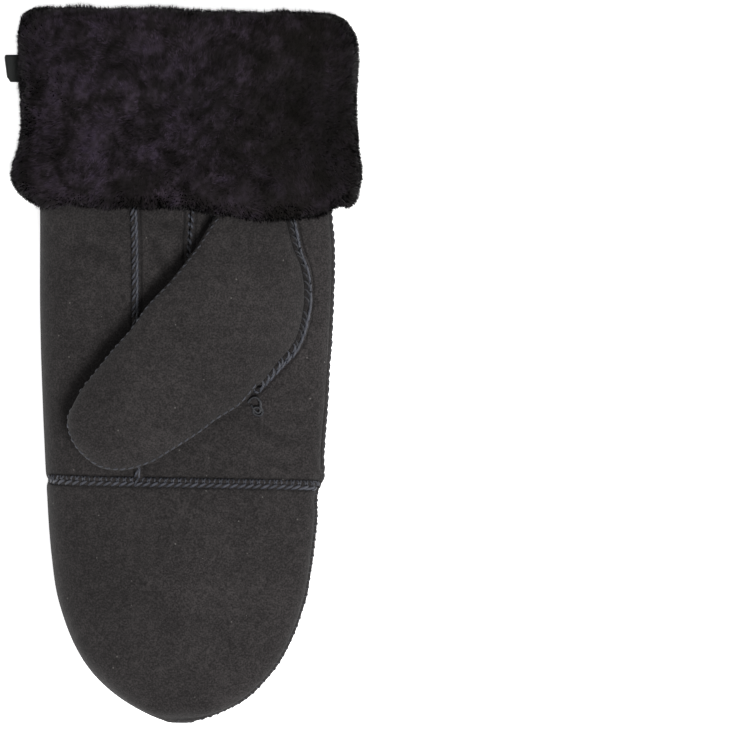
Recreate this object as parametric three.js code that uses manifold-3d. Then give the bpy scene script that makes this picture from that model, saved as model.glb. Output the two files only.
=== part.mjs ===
// A left-hand sheepskin mitten lying on its back, palm and thumb up: suede outside, wool inside,
// with the wrist turned back so that its wool shows as a deep cuff.
// The suede panels are separate walls whose edges stand up side by side in sewn outseams.
// X runs from the little finger to the thumb side, Y from the fingertips to the mouth, Z up.
import * as THREE from "three";
import { mergeVertices } from "three/addons/utils/BufferGeometryUtils.js";
import Module from "manifold-3d";

const wasm = await Module();
wasm.setup();

// Driving dimensions, in millimetres.
const totalLength = 280; // fingertips to the roll at the mouth
const handWidth = 114; // across the palm, lying flat
const handThickness = 27; // palm to back
const skinWall = 2.4; // suede with its flattened nap
const seamGap = 0.5; // between the two edges sewn together
const seamHeight = 1.4; // how far a sewn edge stands up
const seamWidth = 1.4; // across one sewn edge
const crossSeamAlong = 94; // fingertips to the seam across the palm
const crotchAlong = 130; // fingertips to the thumb's crotch
const thumbReach = 70; // crotch to thumb tip
const thumbWidth = 55; // across the thumb where it leaves the palm
const thumbTurn = 38; // degrees from the cross direction to the thumb's line
const thumbEdgeLift = 8.5; // the thumb's sewn edge above the palm
const thumbRise = 11; // the thumb's face above its sewn edge
const cuffDepth = 80; // roll to hem
const cuffStandOff = 2.6; // between the hand's suede and the turned-back skin
const cuffOverThumb = 7; // how much further off it stands over the thumb's root
const cuffPileSide = 8; // skin and wool at the cuff's sides
const cuffPileTop = 11; // skin and wool over the palm
const mouthRoll = 10; // wool and skin over the panels' ends
const mouthLip = 7; // from the roll's end to where the wool inside the mouth begins
const mouthPile = 3.6; // wool inside the mouth
const mouthPileDepth = 52; // how far that wool reaches into the hand
const lockDepth = 1.3; // from a lock's crown to the parting beside it
const labelWidth = 11.4; // along the cuff
const labelReach = 5.6; // out of the wool
const labelRoot = 4; // into the wool
const labelRibbon = 0.6; // one layer of the folded ribbon
const labelAlong = 256; // fingertips to the label's middle
const fit = 0.4; // clearance between pieces that lie on each other

const halfWidth = handWidth / 2;
const panelEnd = totalLength - mouthRoll;
const hemAlong = totalLength - cuffDepth;

// The hand's sections. along is a share of the length, left and right of half the width, full of the
// height above and below the sewn edge, seat of the thickness that the back is held off the floor.
const handSections = [
  { along: 0.0, left: -0.09, right: 0.04, full: 0.0, seat: 0.04 },
  { along: 0.014, left: -0.245, right: 0.215, full: 0.42, seat: 0.02 },
  { along: 0.031, left: -0.385, right: 0.375, full: 0.6, seat: 0.0 },
  { along: 0.064, left: -0.57, right: 0.548, full: 0.78, seat: 0.0 },
  { along: 0.098, left: -0.692, right: 0.666, full: 0.88, seat: 0.0 },
  { along: 0.165, left: -0.822, right: 0.802, full: 0.96, seat: 0.0 },
  { along: 0.232, left: -0.878, right: 0.86, full: 1.0, seat: 0.0 },
  { along: 0.333, left: -0.915, right: 0.915, full: 1.0, seat: 0.0 },
  { along: 0.45, left: -0.94, right: 0.955, full: 1.0, seat: 0.0 },
  { along: 0.57, left: -0.957, right: 0.995, full: 0.99, seat: 0.03 },
  { along: 0.65, left: -0.955, right: 1.007, full: 0.96, seat: 0.15 },
  { along: 0.72, left: -0.953, right: 0.99, full: 0.94, seat: 0.28 },
  { along: 0.8, left: -0.95, right: 0.97, full: 0.95, seat: 0.32 },
  { along: 1.0, left: -0.945, right: 0.965, full: 1.0, seat: 0.32 },
];
// The sewn edge's height as a share of the thickness, at the little finger's side and at the thumb's.
const littleEdge = 0.32;
const thumbEdge = 0.46;
const squareness = 0.55; // a section is an ellipse at 1 and a rectangle at 0
const backFlat = 1.35; // over 1 the back lies flat in its middle

// Soft dents pressed into the palm: places and reaches as shares, deep as a share of the thickness.
const palmDents = [
  { across: 0.72, along: 0.39, wide: 0.16, long: 0.03, deep: 0.045 },
  { across: 0.9, along: 0.44, wide: 0.1, long: 0.05, deep: 0.03 },
  { across: -0.62, along: 0.66, wide: 0.22, long: 0.03, deep: 0.035 },
  { across: 0.4, along: 0.2, wide: 0.3, long: 0.08, deep: 0.03 },
];

// The seams on the hand: across as shares of the way from the middle to the edge.
const palmSeam = { mouth: -0.37, cross: -0.325 }; // beside the little finger, mouth to cross seam
const crossSeamTilt = 1.4; // the palm's cross seam is this much nearer the tip at the thumb's side
const backSeam = { mouth: -0.31, fork: -0.22, cross: -0.21 }; // along the back
const backForkAlong = crossSeamAlong + 38; // where the slanting back seam leaves the long one
const slantEndAlong = crossSeamAlong + 78; // where it reaches the thumb's side

// The thumb hole's edges in the palm, from the mouth to the crotch. raise is the thumb's sewn edge
// above the palm there, and down how far its wall points down into the hole, 1 for all the way.
const holeOuterRows = [
  { across: 0.66, along: 0.965, raise: 0, down: 1 },
  { across: 0.7, along: 0.8, raise: 0, down: 1 },
  { across: 0.757, along: 0.7, raise: 0, down: 1 },
  { across: 0.79, along: 0.661, raise: 0, down: 1 },
  { across: 0.842, along: 0.632, raise: 0, down: 1 },
  { across: 0.862, along: 0.605, raise: 0, down: 1 },
  { across: 0.86, along: 0.575, raise: 0, down: 1 },
  { across: 0.835, along: 0.547, raise: 0, down: 0.95 },
  { across: 0.79, along: 0.524, raise: 0.06, down: 0.8 },
  { across: 0.7, along: 0.503, raise: 0.15, down: 0.5 },
];
const holeInnerRows = [
  { across: 0.02, along: 0.965, raise: 0, down: 1 },
  { across: 0.03, along: 0.8, raise: 0.06, down: 0.95 },
  { across: 0.035, along: 0.71, raise: 0.2, down: 0.7 },
  { across: 0.018, along: 0.66, raise: 0.23, down: 0.25 },
  { across: 0.03, along: 0.625, raise: 0.23, down: 0 },
  { across: 0.06, along: 0.59, raise: 0.23, down: 0 },
  { across: 0.115, along: 0.56, raise: 0.23, down: 0 },
  { across: 0.21, along: 0.53, raise: 0.23, down: 0 },
  { across: 0.33, along: 0.505, raise: 0.23, down: 0 },
];
const crotchAcross = 0.525;
const crotchRaise = 0.26;

// The seam round the thumb, between its face and its underside, from the mouth to the thumb's root,
// then along the thumb and round its tip back to the crotch. raise and down are as above.
const thumbRootRows = [
  { across: 0.34, along: 0.965, raise: 0, down: 1 },
  { across: 0.34, along: 0.8, raise: 0.04, down: 0.95 },
  { across: 0.3, along: 0.735, raise: 0.25, down: 0.75 },
  { across: 0.2, along: 0.707, raise: 0.5, down: 0.5 },
  { across: 0.065, along: 0.665, raise: 0.82, down: 0.12 },
];
const thumbLoopRows = [
  { reach: 0.01, over: 0.995, raise: 0.96, down: 0 },
  { reach: 0.18, over: 0.958, raise: 1, down: 0 },
  { reach: 0.35, over: 0.891, raise: 1, down: 0 },
  { reach: 0.48, over: 0.86, raise: 1, down: 0 },
  { reach: 0.61, over: 0.82, raise: 1, down: 0 },
  { reach: 0.74, over: 0.778, raise: 1, down: 0 },
  { reach: 0.86, over: 0.724, raise: 1, down: 0 },
  { reach: 0.93, over: 0.672, raise: 1, down: 0 },
  { reach: 0.975, over: 0.58, raise: 1, down: 0 },
  { reach: 0.995, over: 0.47, raise: 1, down: 0 },
  { reach: 0.98, over: 0.33, raise: 1, down: 0 },
  { reach: 0.945, over: 0.225, raise: 1, down: 0 },
  { reach: 0.89, over: 0.15, raise: 1, down: 0 },
  { reach: 0.815, over: 0.092, raise: 1, down: 0 },
  { reach: 0.71, over: 0.045, raise: 0.98, down: 0 },
  { reach: 0.605, over: 0.025, raise: 0.93, down: 0 },
  { reach: 0.5, over: 0.01, raise: 0.84, down: 0 },
  { reach: 0.4, over: 0.002, raise: 0.72, down: 0 },
  { reach: 0.265, over: 0.0, raise: 0.52, down: 0 },
  { reach: 0.14, over: -0.018, raise: 0.38, down: 0 },
  { reach: 0.06, over: -0.01, raise: 0.3, down: 0 },
];
// The height of the thumb's face over its edges, as a share of thumbRise, from the mouth to the tip.
const thumbFaceRows = [
  { way: 0.0, full: 0.02 },
  { way: 0.2, full: 0.1 },
  { way: 0.32, full: 0.36 },
  { way: 0.42, full: 0.72 },
  { way: 0.55, full: 0.95 },
  { way: 0.7, full: 1.02 },
  { way: 0.86, full: 0.98 },
  { way: 0.93, full: 0.86 },
  { way: 0.975, full: 0.6 },
  { way: 1.0, full: 0.15 },
];
// The strips between the thumb's two edges: crotch is the share of their length at the crotch, and
// mate the share of the seam round the thumb that faces the crotch across the strip.
const faceStrip = { crotch: 0.62, mate: 0.355, ease: 2.6 };
const underStrip = { crotch: 0.72, mate: 0.475, ease: 0.8, leaves: 0.4, lies: 0.54 };
const thumbTipShare = 0.615; // of the seam round the thumb, at the tip
const thumbTipOpening = 0.006; // either side of it, where the strips end

// The turned-back cuff's outside from hem to roll: out is a share of its pile.
const cuffRows = [
  { along: 0.0, out: 0.3 },
  { along: 0.02, out: 0.68 },
  { along: 0.06, out: 0.93 },
  { along: 0.13, out: 1.04 },
  { along: 0.21, out: 1.0 },
  { along: 0.3, out: 0.92 },
  { along: 0.39, out: 0.87 },
  { along: 0.48, out: 0.85 },
  { along: 0.57, out: 0.86 },
  { along: 0.66, out: 0.89 },
  { along: 0.75, out: 0.91 },
  { along: 0.84, out: 0.9 },
  { along: 0.92, out: 0.83 },
  { along: 0.97, out: 0.62 },
];
// The roll at the mouth: across is the share of the way from the cuff's outside to its inside.
const rollRows = [
  { across: 0.3, back: 0.5 },
  { across: 0.55, back: 0 },
  { across: 0.85, back: 2 },
];
// The hem's place on the palm side, in millimetres beyond the hem line, towards the fingertips.
const hemRows = [
  { turn: -1.0, drop: -1.5 },
  { turn: -0.55, drop: -4 },
  { turn: -0.25, drop: -2.5 },
  { turn: 0.0, drop: 0 },
  { turn: 0.2, drop: 3 },
  { turn: 0.42, drop: 5.5 },
  { turn: 0.62, drop: 3 },
  { turn: 0.8, drop: -1 },
  { turn: 1.0, drop: -0.5 },
];
// Where the cuff is pushed out by the thumb's root beneath it, and the share of its depth that is.
const cuffBulge = { turn: 0.3, wide: 0.36, fades: 0.62 };
const cuffRing = 56; // columns round the cuff, an even number

// A cubic interpolation through the columns of a table whose rows are ordered by the named column.
function tableOf(rows, key) {
  const columns = Object.keys(rows[0]).filter((name) => name !== key);
  const values = rows.flatMap((row) => columns.map((name) => row[name]));
  const keys = rows.map((row) => row[key]);
  const curve = new THREE.CubicInterpolant(keys, values, columns.length);
  return (at) => {
    const found = curve.evaluate(THREE.MathUtils.clamp(at, keys[0], keys[keys.length - 1]));
    return Object.fromEntries(columns.map((name, i) => [name, found[i]]));
  };
}

const handAt = tableOf(handSections, "along");
const faceAt = tableOf(thumbFaceRows, "way");
const hemAt = tableOf(hemRows, "turn");

// The hand's section at one place along it, in millimetres.
function sectionAt(y) {
  const { left, right, full, seat } = handAt(y / totalLength);
  return {
    middle: ((left + right) / 2) * halfWidth,
    half: ((right - left) / 2) * halfWidth,
    full: Math.max(0, full),
    seat: Math.max(0, seat) * handThickness,
  };
}

function palmDent(x, y) {
  const depths = palmDents.map(({ across, along, wide, long, deep }) => {
    const dx = (x / halfWidth - across) / wide;
    const dy = (y / totalLength - along) / long;
    return deep * Math.exp(-dx * dx - dy * dy);
  });
  return handThickness * depths.reduce((sum, depth) => sum + depth, 0);
}

// A point on a section that is grown at its sides, above and below. turn runs from -1 at the little
// finger's edge to 1 at the thumb's, and face is 1 on the palm and -1 on the back.
function sectionPoint(turn, y, face, grow) {
  const { middle, half, full, seat } = sectionAt(y);
  const angle = (turn * Math.PI) / 2;
  const arch = Math.max(0, Math.cos(angle));
  const x = middle + (half + grow.side) * Math.sin(angle);
  const share = THREE.MathUtils.lerp(littleEdge, thumbEdge, (x / halfWidth + 1) / 2);
  const edge = seat + share * handThickness;
  if (face > 0) {
    const rise = (1 - share) * handThickness * full + grow.up;
    return new THREE.Vector3(x, y, edge + rise * arch ** squareness - palmDent(x, y) * arch);
  }
  const fall = share * handThickness * full + grow.down;
  return new THREE.Vector3(x, y, edge - fall * Math.min(1, backFlat * arch) ** squareness);
}

// A point of the hand's wall, depth inside its skin. The two faces are held half a seam's gap apart.
function handPoint(turn, y, face, depth = 0) {
  const { half, full } = sectionAt(y);
  const grow = { side: (-depth * half) / halfWidth, up: -depth * full, down: -depth * full };
  const point = sectionPoint(turn, y, face, grow);
  point.y = y + depth * (1 - y / totalLength);
  point.z = Math.max(0, point.z + (face * seamGap) / 2);
  return point;
}

// The turn that reaches a distance from the middle line.
function turnOf(x, y) {
  const { middle, half } = sectionAt(y);
  return (Math.asin(THREE.MathUtils.clamp((x - middle) / half, -1, 1)) * 2) / Math.PI;
}

const palmHeight = (x, y) => handPoint(turnOf(x, y), y, 1).z;

function planPoint(across, y) {
  const { middle, half } = sectionAt(y);
  return new THREE.Vector2(middle + across * half, y);
}

// Places along a curve, as its parameter: even ones, and a pair at each sewn end for the standing edge.
function stationsAlong(curve, count, firstSewn, lastSewn) {
  const fine = 90;
  const ways = Array.from({ length: fine + 1 }, (_, i) => (1 - Math.cos((Math.PI * i) / fine)) / 2);
  const points = ways.map(curve);
  const reached = [0];
  for (let i = 1; i <= fine; i++) {
    reached.push(reached[i - 1] + points[i].distanceTo(points[i - 1]));
  }
  const whole = reached[fine];
  const edge = Math.min(seamWidth, whole / 6);
  const from = firstSewn ? edge * 1.5 : 0;
  const to = whole - (lastSewn ? edge * 1.5 : 0);
  const even = Array.from({ length: count + 1 }, (_, i) => THREE.MathUtils.lerp(from, to, i / count));
  const first = firstSewn ? [0, edge] : [];
  const last = lastSewn ? [whole - edge, whole] : [];
  return [...first, ...even, ...last].map((distance) => {
    const next = Math.max(1, reached.findIndex((length) => length >= distance - 1e-9));
    const share = (distance - reached[next - 1]) / (reached[next] - reached[next - 1] || 1);
    const standing =
      (firstSewn && distance < edge * 1.25) || (lastSewn && distance > whole - edge * 1.25);
    return { at: THREE.MathUtils.lerp(ways[next - 1], ways[next], share), standing };
  });
}

// Turns the triangles over where the volume they enclose comes out negative.
function facingOut(positions, index) {
  const corner = (i) => new THREE.Vector3().fromArray(positions, 3 * i);
  let volume = 0;
  for (let i = 0; i < index.length; i += 3) {
    const [a, b, c] = [corner(index[i]), corner(index[i + 1]), corner(index[i + 2])];
    volume += a.dot(b.cross(c));
  }
  return new THREE.BufferGeometry()
    .setAttribute("position", new THREE.Float32BufferAttribute(positions, 3))
    .setIndex(volume > 0 ? index : index.reverse());
}

// Closes a grid of outer points and one of inner points into a wall.
function wallGeometry(outer, inner) {
  const rows = outer.length;
  const columns = outer[0].length;
  const positions = [...outer.flat(), ...inner.flat()].flatMap((p) => [p.x, p.y, p.z]);
  const out = (i, j) => i * columns + j;
  const into = (i, j) => rows * columns + i * columns + j;
  const index = [];
  const quad = (a, b, c, d) => index.push(a, b, c, a, c, d);
  for (let i = 0; i < rows - 1; i++) {
    for (let j = 0; j < columns - 1; j++) {
      quad(out(i, j), out(i, j + 1), out(i + 1, j + 1), out(i + 1, j));
      quad(into(i, j), into(i + 1, j), into(i + 1, j + 1), into(i, j + 1));
    }
    quad(out(i, 0), out(i + 1, 0), into(i + 1, 0), into(i, 0));
    quad(out(i + 1, columns - 1), out(i, columns - 1), into(i, columns - 1), into(i + 1, columns - 1));
  }
  for (let j = 0; j < columns - 1; j++) {
    quad(out(0, j + 1), out(0, j), into(0, j), into(0, j + 1));
    quad(out(rows - 1, j), out(rows - 1, j + 1), into(rows - 1, j + 1), into(rows - 1, j));
  }
  return facingOut(positions, index);
}

// Eases a sewn edge back by half the seam's gap, towards the next point of its panel.
function moveTowards(point, next) {
  const way = next.clone().sub(point);
  const length = way.length();
  if (length > seamGap) point.addScaledVector(way, seamGap / 2 / length);
}

// Builds one panel's wall from skin(u, v, depth), with u and v from 0 to 1. sewn names its sewn edges:
// left and right at u 0 and 1, start and end at v 0 and 1. Its rows are even along the line at pace.
function panelGeometry(skin, across, down, sewn, pace = 0.5) {
  const rows = stationsAlong((v) => skin(pace, v, 0), down, sewn.start, sewn.end);
  const outer = [];
  const inner = [];
  for (const row of rows) {
    const columns = stationsAlong((u) => skin(u, row.at, 0), across, sewn.left, sewn.right);
    outer.push(columns.map((c) => skin(c.at, row.at, row.standing || c.standing ? -seamHeight : 0)));
    inner.push(columns.map((c) => skin(c.at, row.at, skinWall)));
  }
  for (const grid of [outer, inner]) {
    const last = grid.length - 1;
    if (sewn.left) grid.forEach((row) => moveTowards(row[0], row[1]));
    if (sewn.right) grid.forEach((row) => moveTowards(row[row.length - 1], row[row.length - 2]));
    if (sewn.start) grid[0].forEach((point, j) => moveTowards(point, grid[1][j]));
    if (sewn.end) grid[last].forEach((point, j) => moveTowards(point, grid[last - 1][j]));
  }
  return wallGeometry(outer, inner);
}

// A boundary is a function of v that gives a turn and a place along the hand.
const straightEdge = (turn, fromY, toY) => (v) => ({ turn, y: THREE.MathUtils.lerp(fromY, toY, v) });
const straightSeam = (fromAcross, fromY, toAcross, toY) => (v) => {
  const { x, y } = planPoint(
    THREE.MathUtils.lerp(fromAcross, toAcross, v),
    THREE.MathUtils.lerp(fromY, toY, v),
  );
  return { turn: turnOf(x, y), y };
};
const handSkin = (left, right, face) => (u, v, depth) => {
  const a = left(v);
  const b = right(v);
  const turn = THREE.MathUtils.lerp(a.turn, b.turn, u);
  return handPoint(turn, THREE.MathUtils.lerp(a.y, b.y, u), face, depth);
};
const seamTurn = (across, y) => turnOf(planPoint(across, y).x, y);

// The fingertip's panel on one face: rows from the cross seam to the tip.
function tipGeometry(face, crossAt) {
  const skin = (u, v, depth) => {
    const turn = u * 2 - 1;
    return handPoint(turn, crossAt(turn) * (1 - v), face, depth);
  };
  return panelGeometry(skin, 12, 10, { left: true, right: true, start: true, end: true }, 0.06);
}

const crossSeamAt = (turn) => crossSeamAlong - crossSeamTilt * turn;
const backCrossAt = (turn) => crossSeamAlong - 3 - crossSeamTilt * turn;
const palmSeamTurn = seamTurn(palmSeam.cross, crossSeamAlong);
const palmSeamEnd = crossSeamAt(palmSeamTurn);

function palmOuterGeometry() {
  const left = straightEdge(-1, panelEnd, crossSeamAt(-1));
  const right = straightSeam(palmSeam.mouth, panelEnd, palmSeam.cross, palmSeamEnd);
  return panelGeometry(handSkin(left, right, 1), 5, 12, { left: true, right: true, end: true });
}

// A curve through rows that give a place, with the distance along it as the parameter, from 0 to 1.
function curveOf(rows) {
  const lengths = [0];
  for (let i = 1; i < rows.length; i++) {
    const step = Math.hypot(rows[i].x - rows[i - 1].x, rows[i].y - rows[i - 1].y);
    lengths.push(lengths[i - 1] + step);
  }
  const whole = lengths[lengths.length - 1];
  return tableOf(rows.map((row, i) => ({ at: lengths[i] / whole, ...row })), "at");
}

const crotch = planPoint(crotchAcross, crotchAlong);
const crotchRow = { x: crotch.x, y: crotch.y, raise: crotchRaise, down: 0 };
function holeRow({ across, along, raise, down }) {
  const y = along * totalLength;
  return { x: planPoint(across, y).x, y, raise, down };
}
function thumbRow({ reach, over, raise, down }) {
  const turn = THREE.MathUtils.degToRad(thumbTurn);
  const s = reach * thumbReach;
  const t = over * thumbWidth;
  const x = crotch.x - s * Math.cos(turn) - t * Math.sin(turn);
  return { x, y: crotch.y - s * Math.sin(turn) + t * Math.cos(turn), raise, down };
}
const holeOuter = curveOf([...holeOuterRows.map(holeRow), crotchRow]);
const holeInner = curveOf([...holeInnerRows.map(holeRow), crotchRow]);
const thumbSeam = curveOf([...thumbRootRows.map(holeRow), ...thumbLoopRows.map(thumbRow), crotchRow]);

// The palm's main panel bends round the thumb hole: down beside the palm seam, along the cross seam
// and up the thumb's side on its outside, and down and up the two edges of the hole on its inside.
function palmMainGeometry() {
  const bend = 0.3;
  const palmLeg = straightSeam(palmSeam.mouth, panelEnd, palmSeam.cross, palmSeamEnd);
  const thumbLeg = straightEdge(1, crossSeamAt(1), panelEnd);
  const outside = (v) => {
    if (v < bend) return palmLeg(v / bend);
    if (v > 1 - bend) return thumbLeg((v - 1 + bend) / bend);
    const turn = THREE.MathUtils.lerp(palmSeamTurn, 1, (v - bend) / (1 - 2 * bend));
    return { turn, y: crossSeamAt(turn) };
  };
  const inside = (v) => {
    const { x, y } = v < 0.5 ? holeInner(2 * v) : holeOuter(2 - 2 * v);
    return { turn: turnOf(x, y), y };
  };
  return panelGeometry(handSkin(outside, inside, 1), 5, 38, { left: true, right: true });
}

// A point of a sewn edge of the thumb, depth inside it. inward is 1 where the thumb's inside is on
// the left of the curve's direction and -1 where it is on the right.
function thumbEdgePoint(curve, at, inward, depth, gap, ease = 0) {
  const { x, y, raise, down } = curve(at);
  const ahead = curve(Math.min(1, at + 0.004));
  const behind = curve(Math.max(0, at - 0.004));
  const way = new THREE.Vector2(ahead.x - behind.x, ahead.y - behind.y).normalize();
  const flat = depth * Math.sqrt(Math.max(0, 1 - down * down)) + ease;
  const point = handPoint(turnOf(x, y), y, 1, depth * down);
  point.x -= inward * way.y * flat;
  point.y += inward * way.x * flat;
  point.z += raise * thumbEdgeLift + gap;
  return point;
}

const thumbBed = seamHeight + fit; // the thumb's underside lies this far above the palm's skin

// The two ends of a strip across the thumb, at v from the mouth to the tip.
function stripEnds(hole, strip, holeInward, v, depth, gap) {
  const past = (v - strip.crotch) / (1 - strip.crotch);
  if (past < 0) {
    const share = v / strip.crotch;
    const left = thumbEdgePoint(thumbSeam, strip.mate * share, 1, depth, gap);
    const ease = seamGap * strip.ease * (1 - share ** 8);
    return [left, thumbEdgePoint(hole, share, holeInward, depth, gap * share ** 4, ease)];
  }
  const leftAt = THREE.MathUtils.lerp(strip.mate, thumbTipShare - thumbTipOpening, past);
  const rightAt = THREE.MathUtils.lerp(1, thumbTipShare + thumbTipOpening, past);
  return [
    thumbEdgePoint(thumbSeam, leftAt, 1, depth, gap),
    thumbEdgePoint(thumbSeam, rightAt, 1, depth, gap),
  ];
}

function thumbFaceSkin(u, v, depth) {
  const [left, right] = stripEnds(holeOuter, faceStrip, -1, v, depth, seamGap / 2);
  const angle = (u - 0.5) * Math.PI;
  const way = (1 + Math.sin(angle)) / 2;
  const arch = Math.max(0, Math.cos(angle));
  const free = THREE.MathUtils.smoothstep(v, faceStrip.crotch - 0.06, faceStrip.crotch + 0.05);
  const power = u < 0.5 ? squareness : THREE.MathUtils.lerp(1, squareness, free);
  const { full } = faceAt(v);
  const point = left.clone().lerp(right, way);
  const { down } = thumbSeam(faceStrip.mate * Math.min(1, v / faceStrip.crotch));
  const ends = THREE.MathUtils.lerp((1 + down) / 2, 0, free);
  point.z += (thumbRise * full - depth * Math.min(1, full) * (1 - ends)) * arch ** power;
  return point;
}

function thumbUnderSkin(u, v, depth) {
  const [left, right] = stripEnds(holeInner, underStrip, 1, v, depth, -seamGap / 2);
  const [leftSkin, rightSkin] = stripEnds(holeInner, underStrip, 1, v, 0, -seamGap / 2);
  const angle = (u - 0.5) * Math.PI;
  const way = (1 + Math.sin(angle)) / 2;
  const arch = Math.min(1, 1.25 * Math.max(0, Math.cos(angle))) ** squareness;
  const lies = THREE.MathUtils.smoothstep(v, underStrip.leaves, underStrip.lies);
  const share = lies * arch * Math.min(1, faceAt(v).full + 0.1);
  const point = left.clone().lerp(right, way);
  const skin = leftSkin.clone().lerp(rightSkin, way);
  const bed = palmHeight(skin.x, skin.y) + thumbBed;
  point.z += (bed - skin.z) * share + depth * share;
  return point;
}

// The back: a tip, a long panel beside the little finger and two beside the thumb, split by a slant.
const backSeamAcross = (y) =>
  y < backForkAlong
    ? THREE.MathUtils.mapLinear(y, crossSeamAlong, backForkAlong, backSeam.cross, backSeam.fork)
    : THREE.MathUtils.mapLinear(y, backForkAlong, panelEnd, backSeam.fork, backSeam.mouth);
const backSeamTurn = seamTurn(backSeam.cross, crossSeamAlong);
const backLongSeam = (fromY, toY) => (v) => {
  const y = THREE.MathUtils.lerp(fromY, toY, v);
  return { turn: seamTurn(backSeamAcross(y), y), y };
};
const backGeometry = (left, right, across, down, sewn) =>
  panelGeometry(handSkin(left, right, -1), across, down, { left: true, right: true, ...sewn });

function backOuterGeometry() {
  const left = straightEdge(-1, panelEnd, backCrossAt(-1));
  return backGeometry(left, backLongSeam(panelEnd, backCrossAt(backSeamTurn)), 5, 11, { end: true });
}
function backUpperGeometry() {
  const right = straightEdge(1, panelEnd, slantEndAlong);
  return backGeometry(backLongSeam(panelEnd, backForkAlong), right, 7, 9, { end: true });
}
function backLowerGeometry() {
  const left = backLongSeam(backForkAlong, backCrossAt(backSeamTurn));
  const right = straightEdge(1, slantEndAlong, backCrossAt(1));
  return backGeometry(left, right, 7, 5, { start: true, end: true });
}

// How far the thumb's root pushes the cuff out.
function overThumb(turn, y, face) {
  const away = (turn - cuffBulge.turn) / cuffBulge.wide;
  const near = 1 - THREE.MathUtils.smoothstep(y, hemAlong, hemAlong + cuffDepth * cuffBulge.fades);
  return face > 0 ? cuffOverThumb * Math.exp(-(away ** 4)) * near : 0;
}

// A point of the cuff. out is a share of the pile outside the turned-back skin, and under 0 the point
// is that many millimetres inside the hand's skin.
function cuffPoint(turn, y, face, out, sink = 0) {
  const { full, seat } = sectionAt(y);
  const over = sink > 0 ? 0 : overThumb(turn, y, face);
  const floor = seat + littleEdge * handThickness * (1 - full) + 4 * fit;
  const grow = {
    side: cuffStandOff + cuffPileSide * out - sink,
    up: cuffStandOff + over + cuffPileTop * out - sink,
    down: THREE.MathUtils.lerp(cuffStandOff, floor, Math.min(1, out / 0.8)) - sink,
  };
  const point = sectionPoint(turn, y, face, grow);
  point.z = Math.max(0, point.z);
  return point;
}

// The cuff's closed profile at one place round it: up its outside, over the roll, down inside the
// mouth, up again beside the panels, over their ends and down inside the turned-back skin.
function cuffProfile(turn, face, lock) {
  const hem = hemAlong - (face > 0 ? hemAt(turn).drop : 0);
  const sunk = cuffStandOff + skinWall + 3 * fit;
  const inside = sunk + mouthPile;
  const innerEnd = panelEnd - mouthPileDepth;
  const slotEnd = panelEnd + fit;
  const standing = face < 0 && Math.abs(turn) < 0.8 ? 0 : 1;
  const outside = cuffRows.map(({ along, out }, row) => {
    const parting = (row + lock) % 2 === 0 && row > 0 ? (standing * lockDepth) / cuffPileTop : 0;
    return cuffPoint(turn, THREE.MathUtils.lerp(hem, totalLength, along), face, out - parting);
  });
  const top = outside[outside.length - 1];
  const mouth = cuffPoint(turn, totalLength - mouthLip, face, 0, inside);
  const roll = rollRows.map(({ across, back }) => {
    const point = top.clone().lerp(mouth, across);
    return point.setY(totalLength - back);
  });
  const down = [0, 0.33, 0.67, 1].map((share) =>
    cuffPoint(turn, THREE.MathUtils.lerp(totalLength - mouthLip, innerEnd, share), face, 0, inside),
  );
  const up = [0, 0.5, 1].map((share) =>
    cuffPoint(turn, THREE.MathUtils.lerp(innerEnd, slotEnd, share), face, 0, sunk),
  );
  const back = [0, 0.2, 0.4, 0.6, 0.8, 1].map((share) =>
    cuffPoint(turn, THREE.MathUtils.lerp(slotEnd, hem + 1.5, share), face, 0),
  );
  return [...outside, ...roll, ...down, ...up, ...back];
}

function cuffGeometry() {
  const middle = (hemAlong + totalLength) / 2;
  const turns = (face) =>
    stationsAlong((t) => cuffPoint(t * 2 - 1, middle, face, 1), cuffRing / 2, false, false)
      .map(({ at }) => at * 2 - 1)
      .slice(0, -1);
  const ring = [
    ...turns(1).map((turn) => ({ turn, face: 1 })),
    ...turns(-1).map((turn) => ({ turn: -turn, face: -1 })),
  ];
  const profiles = ring.map(({ turn, face }, column) => cuffProfile(turn, face, column));
  const rows = profiles[0].length;
  const positions = profiles.flat().flatMap((p) => [p.x, p.y, p.z]);
  const index = [];
  for (let i = 0; i < ring.length; i++) {
    for (let j = 0; j < rows; j++) {
      const [here, next] = [i * rows, ((i + 1) % ring.length) * rows];
      const beside = (j + 1) % rows;
      index.push(here + j, next + j, next + beside, here + j, next + beside, here + beside);
    }
  }
  return facingOut(positions, index);
}

// A closed mesh as a manifold solid, and back.
function solidOf(geometry) {
  const bare = geometry.clone().deleteAttribute("normal").deleteAttribute("uv");
  const merged = mergeVertices(bare, 1e-4);
  const mesh = new wasm.Mesh({
    numProp: 3,
    vertProperties: new Float32Array(merged.attributes.position.array),
    triVerts: new Uint32Array(merged.index.array),
  });
  return new wasm.Manifold(mesh);
}
function geometryOf(solid) {
  const { vertProperties, triVerts } = solid.getMesh();
  return new THREE.BufferGeometry()
    .setAttribute("position", new THREE.Float32BufferAttribute(vertProperties, 3))
    .setIndex([...triVerts]);
}

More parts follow.
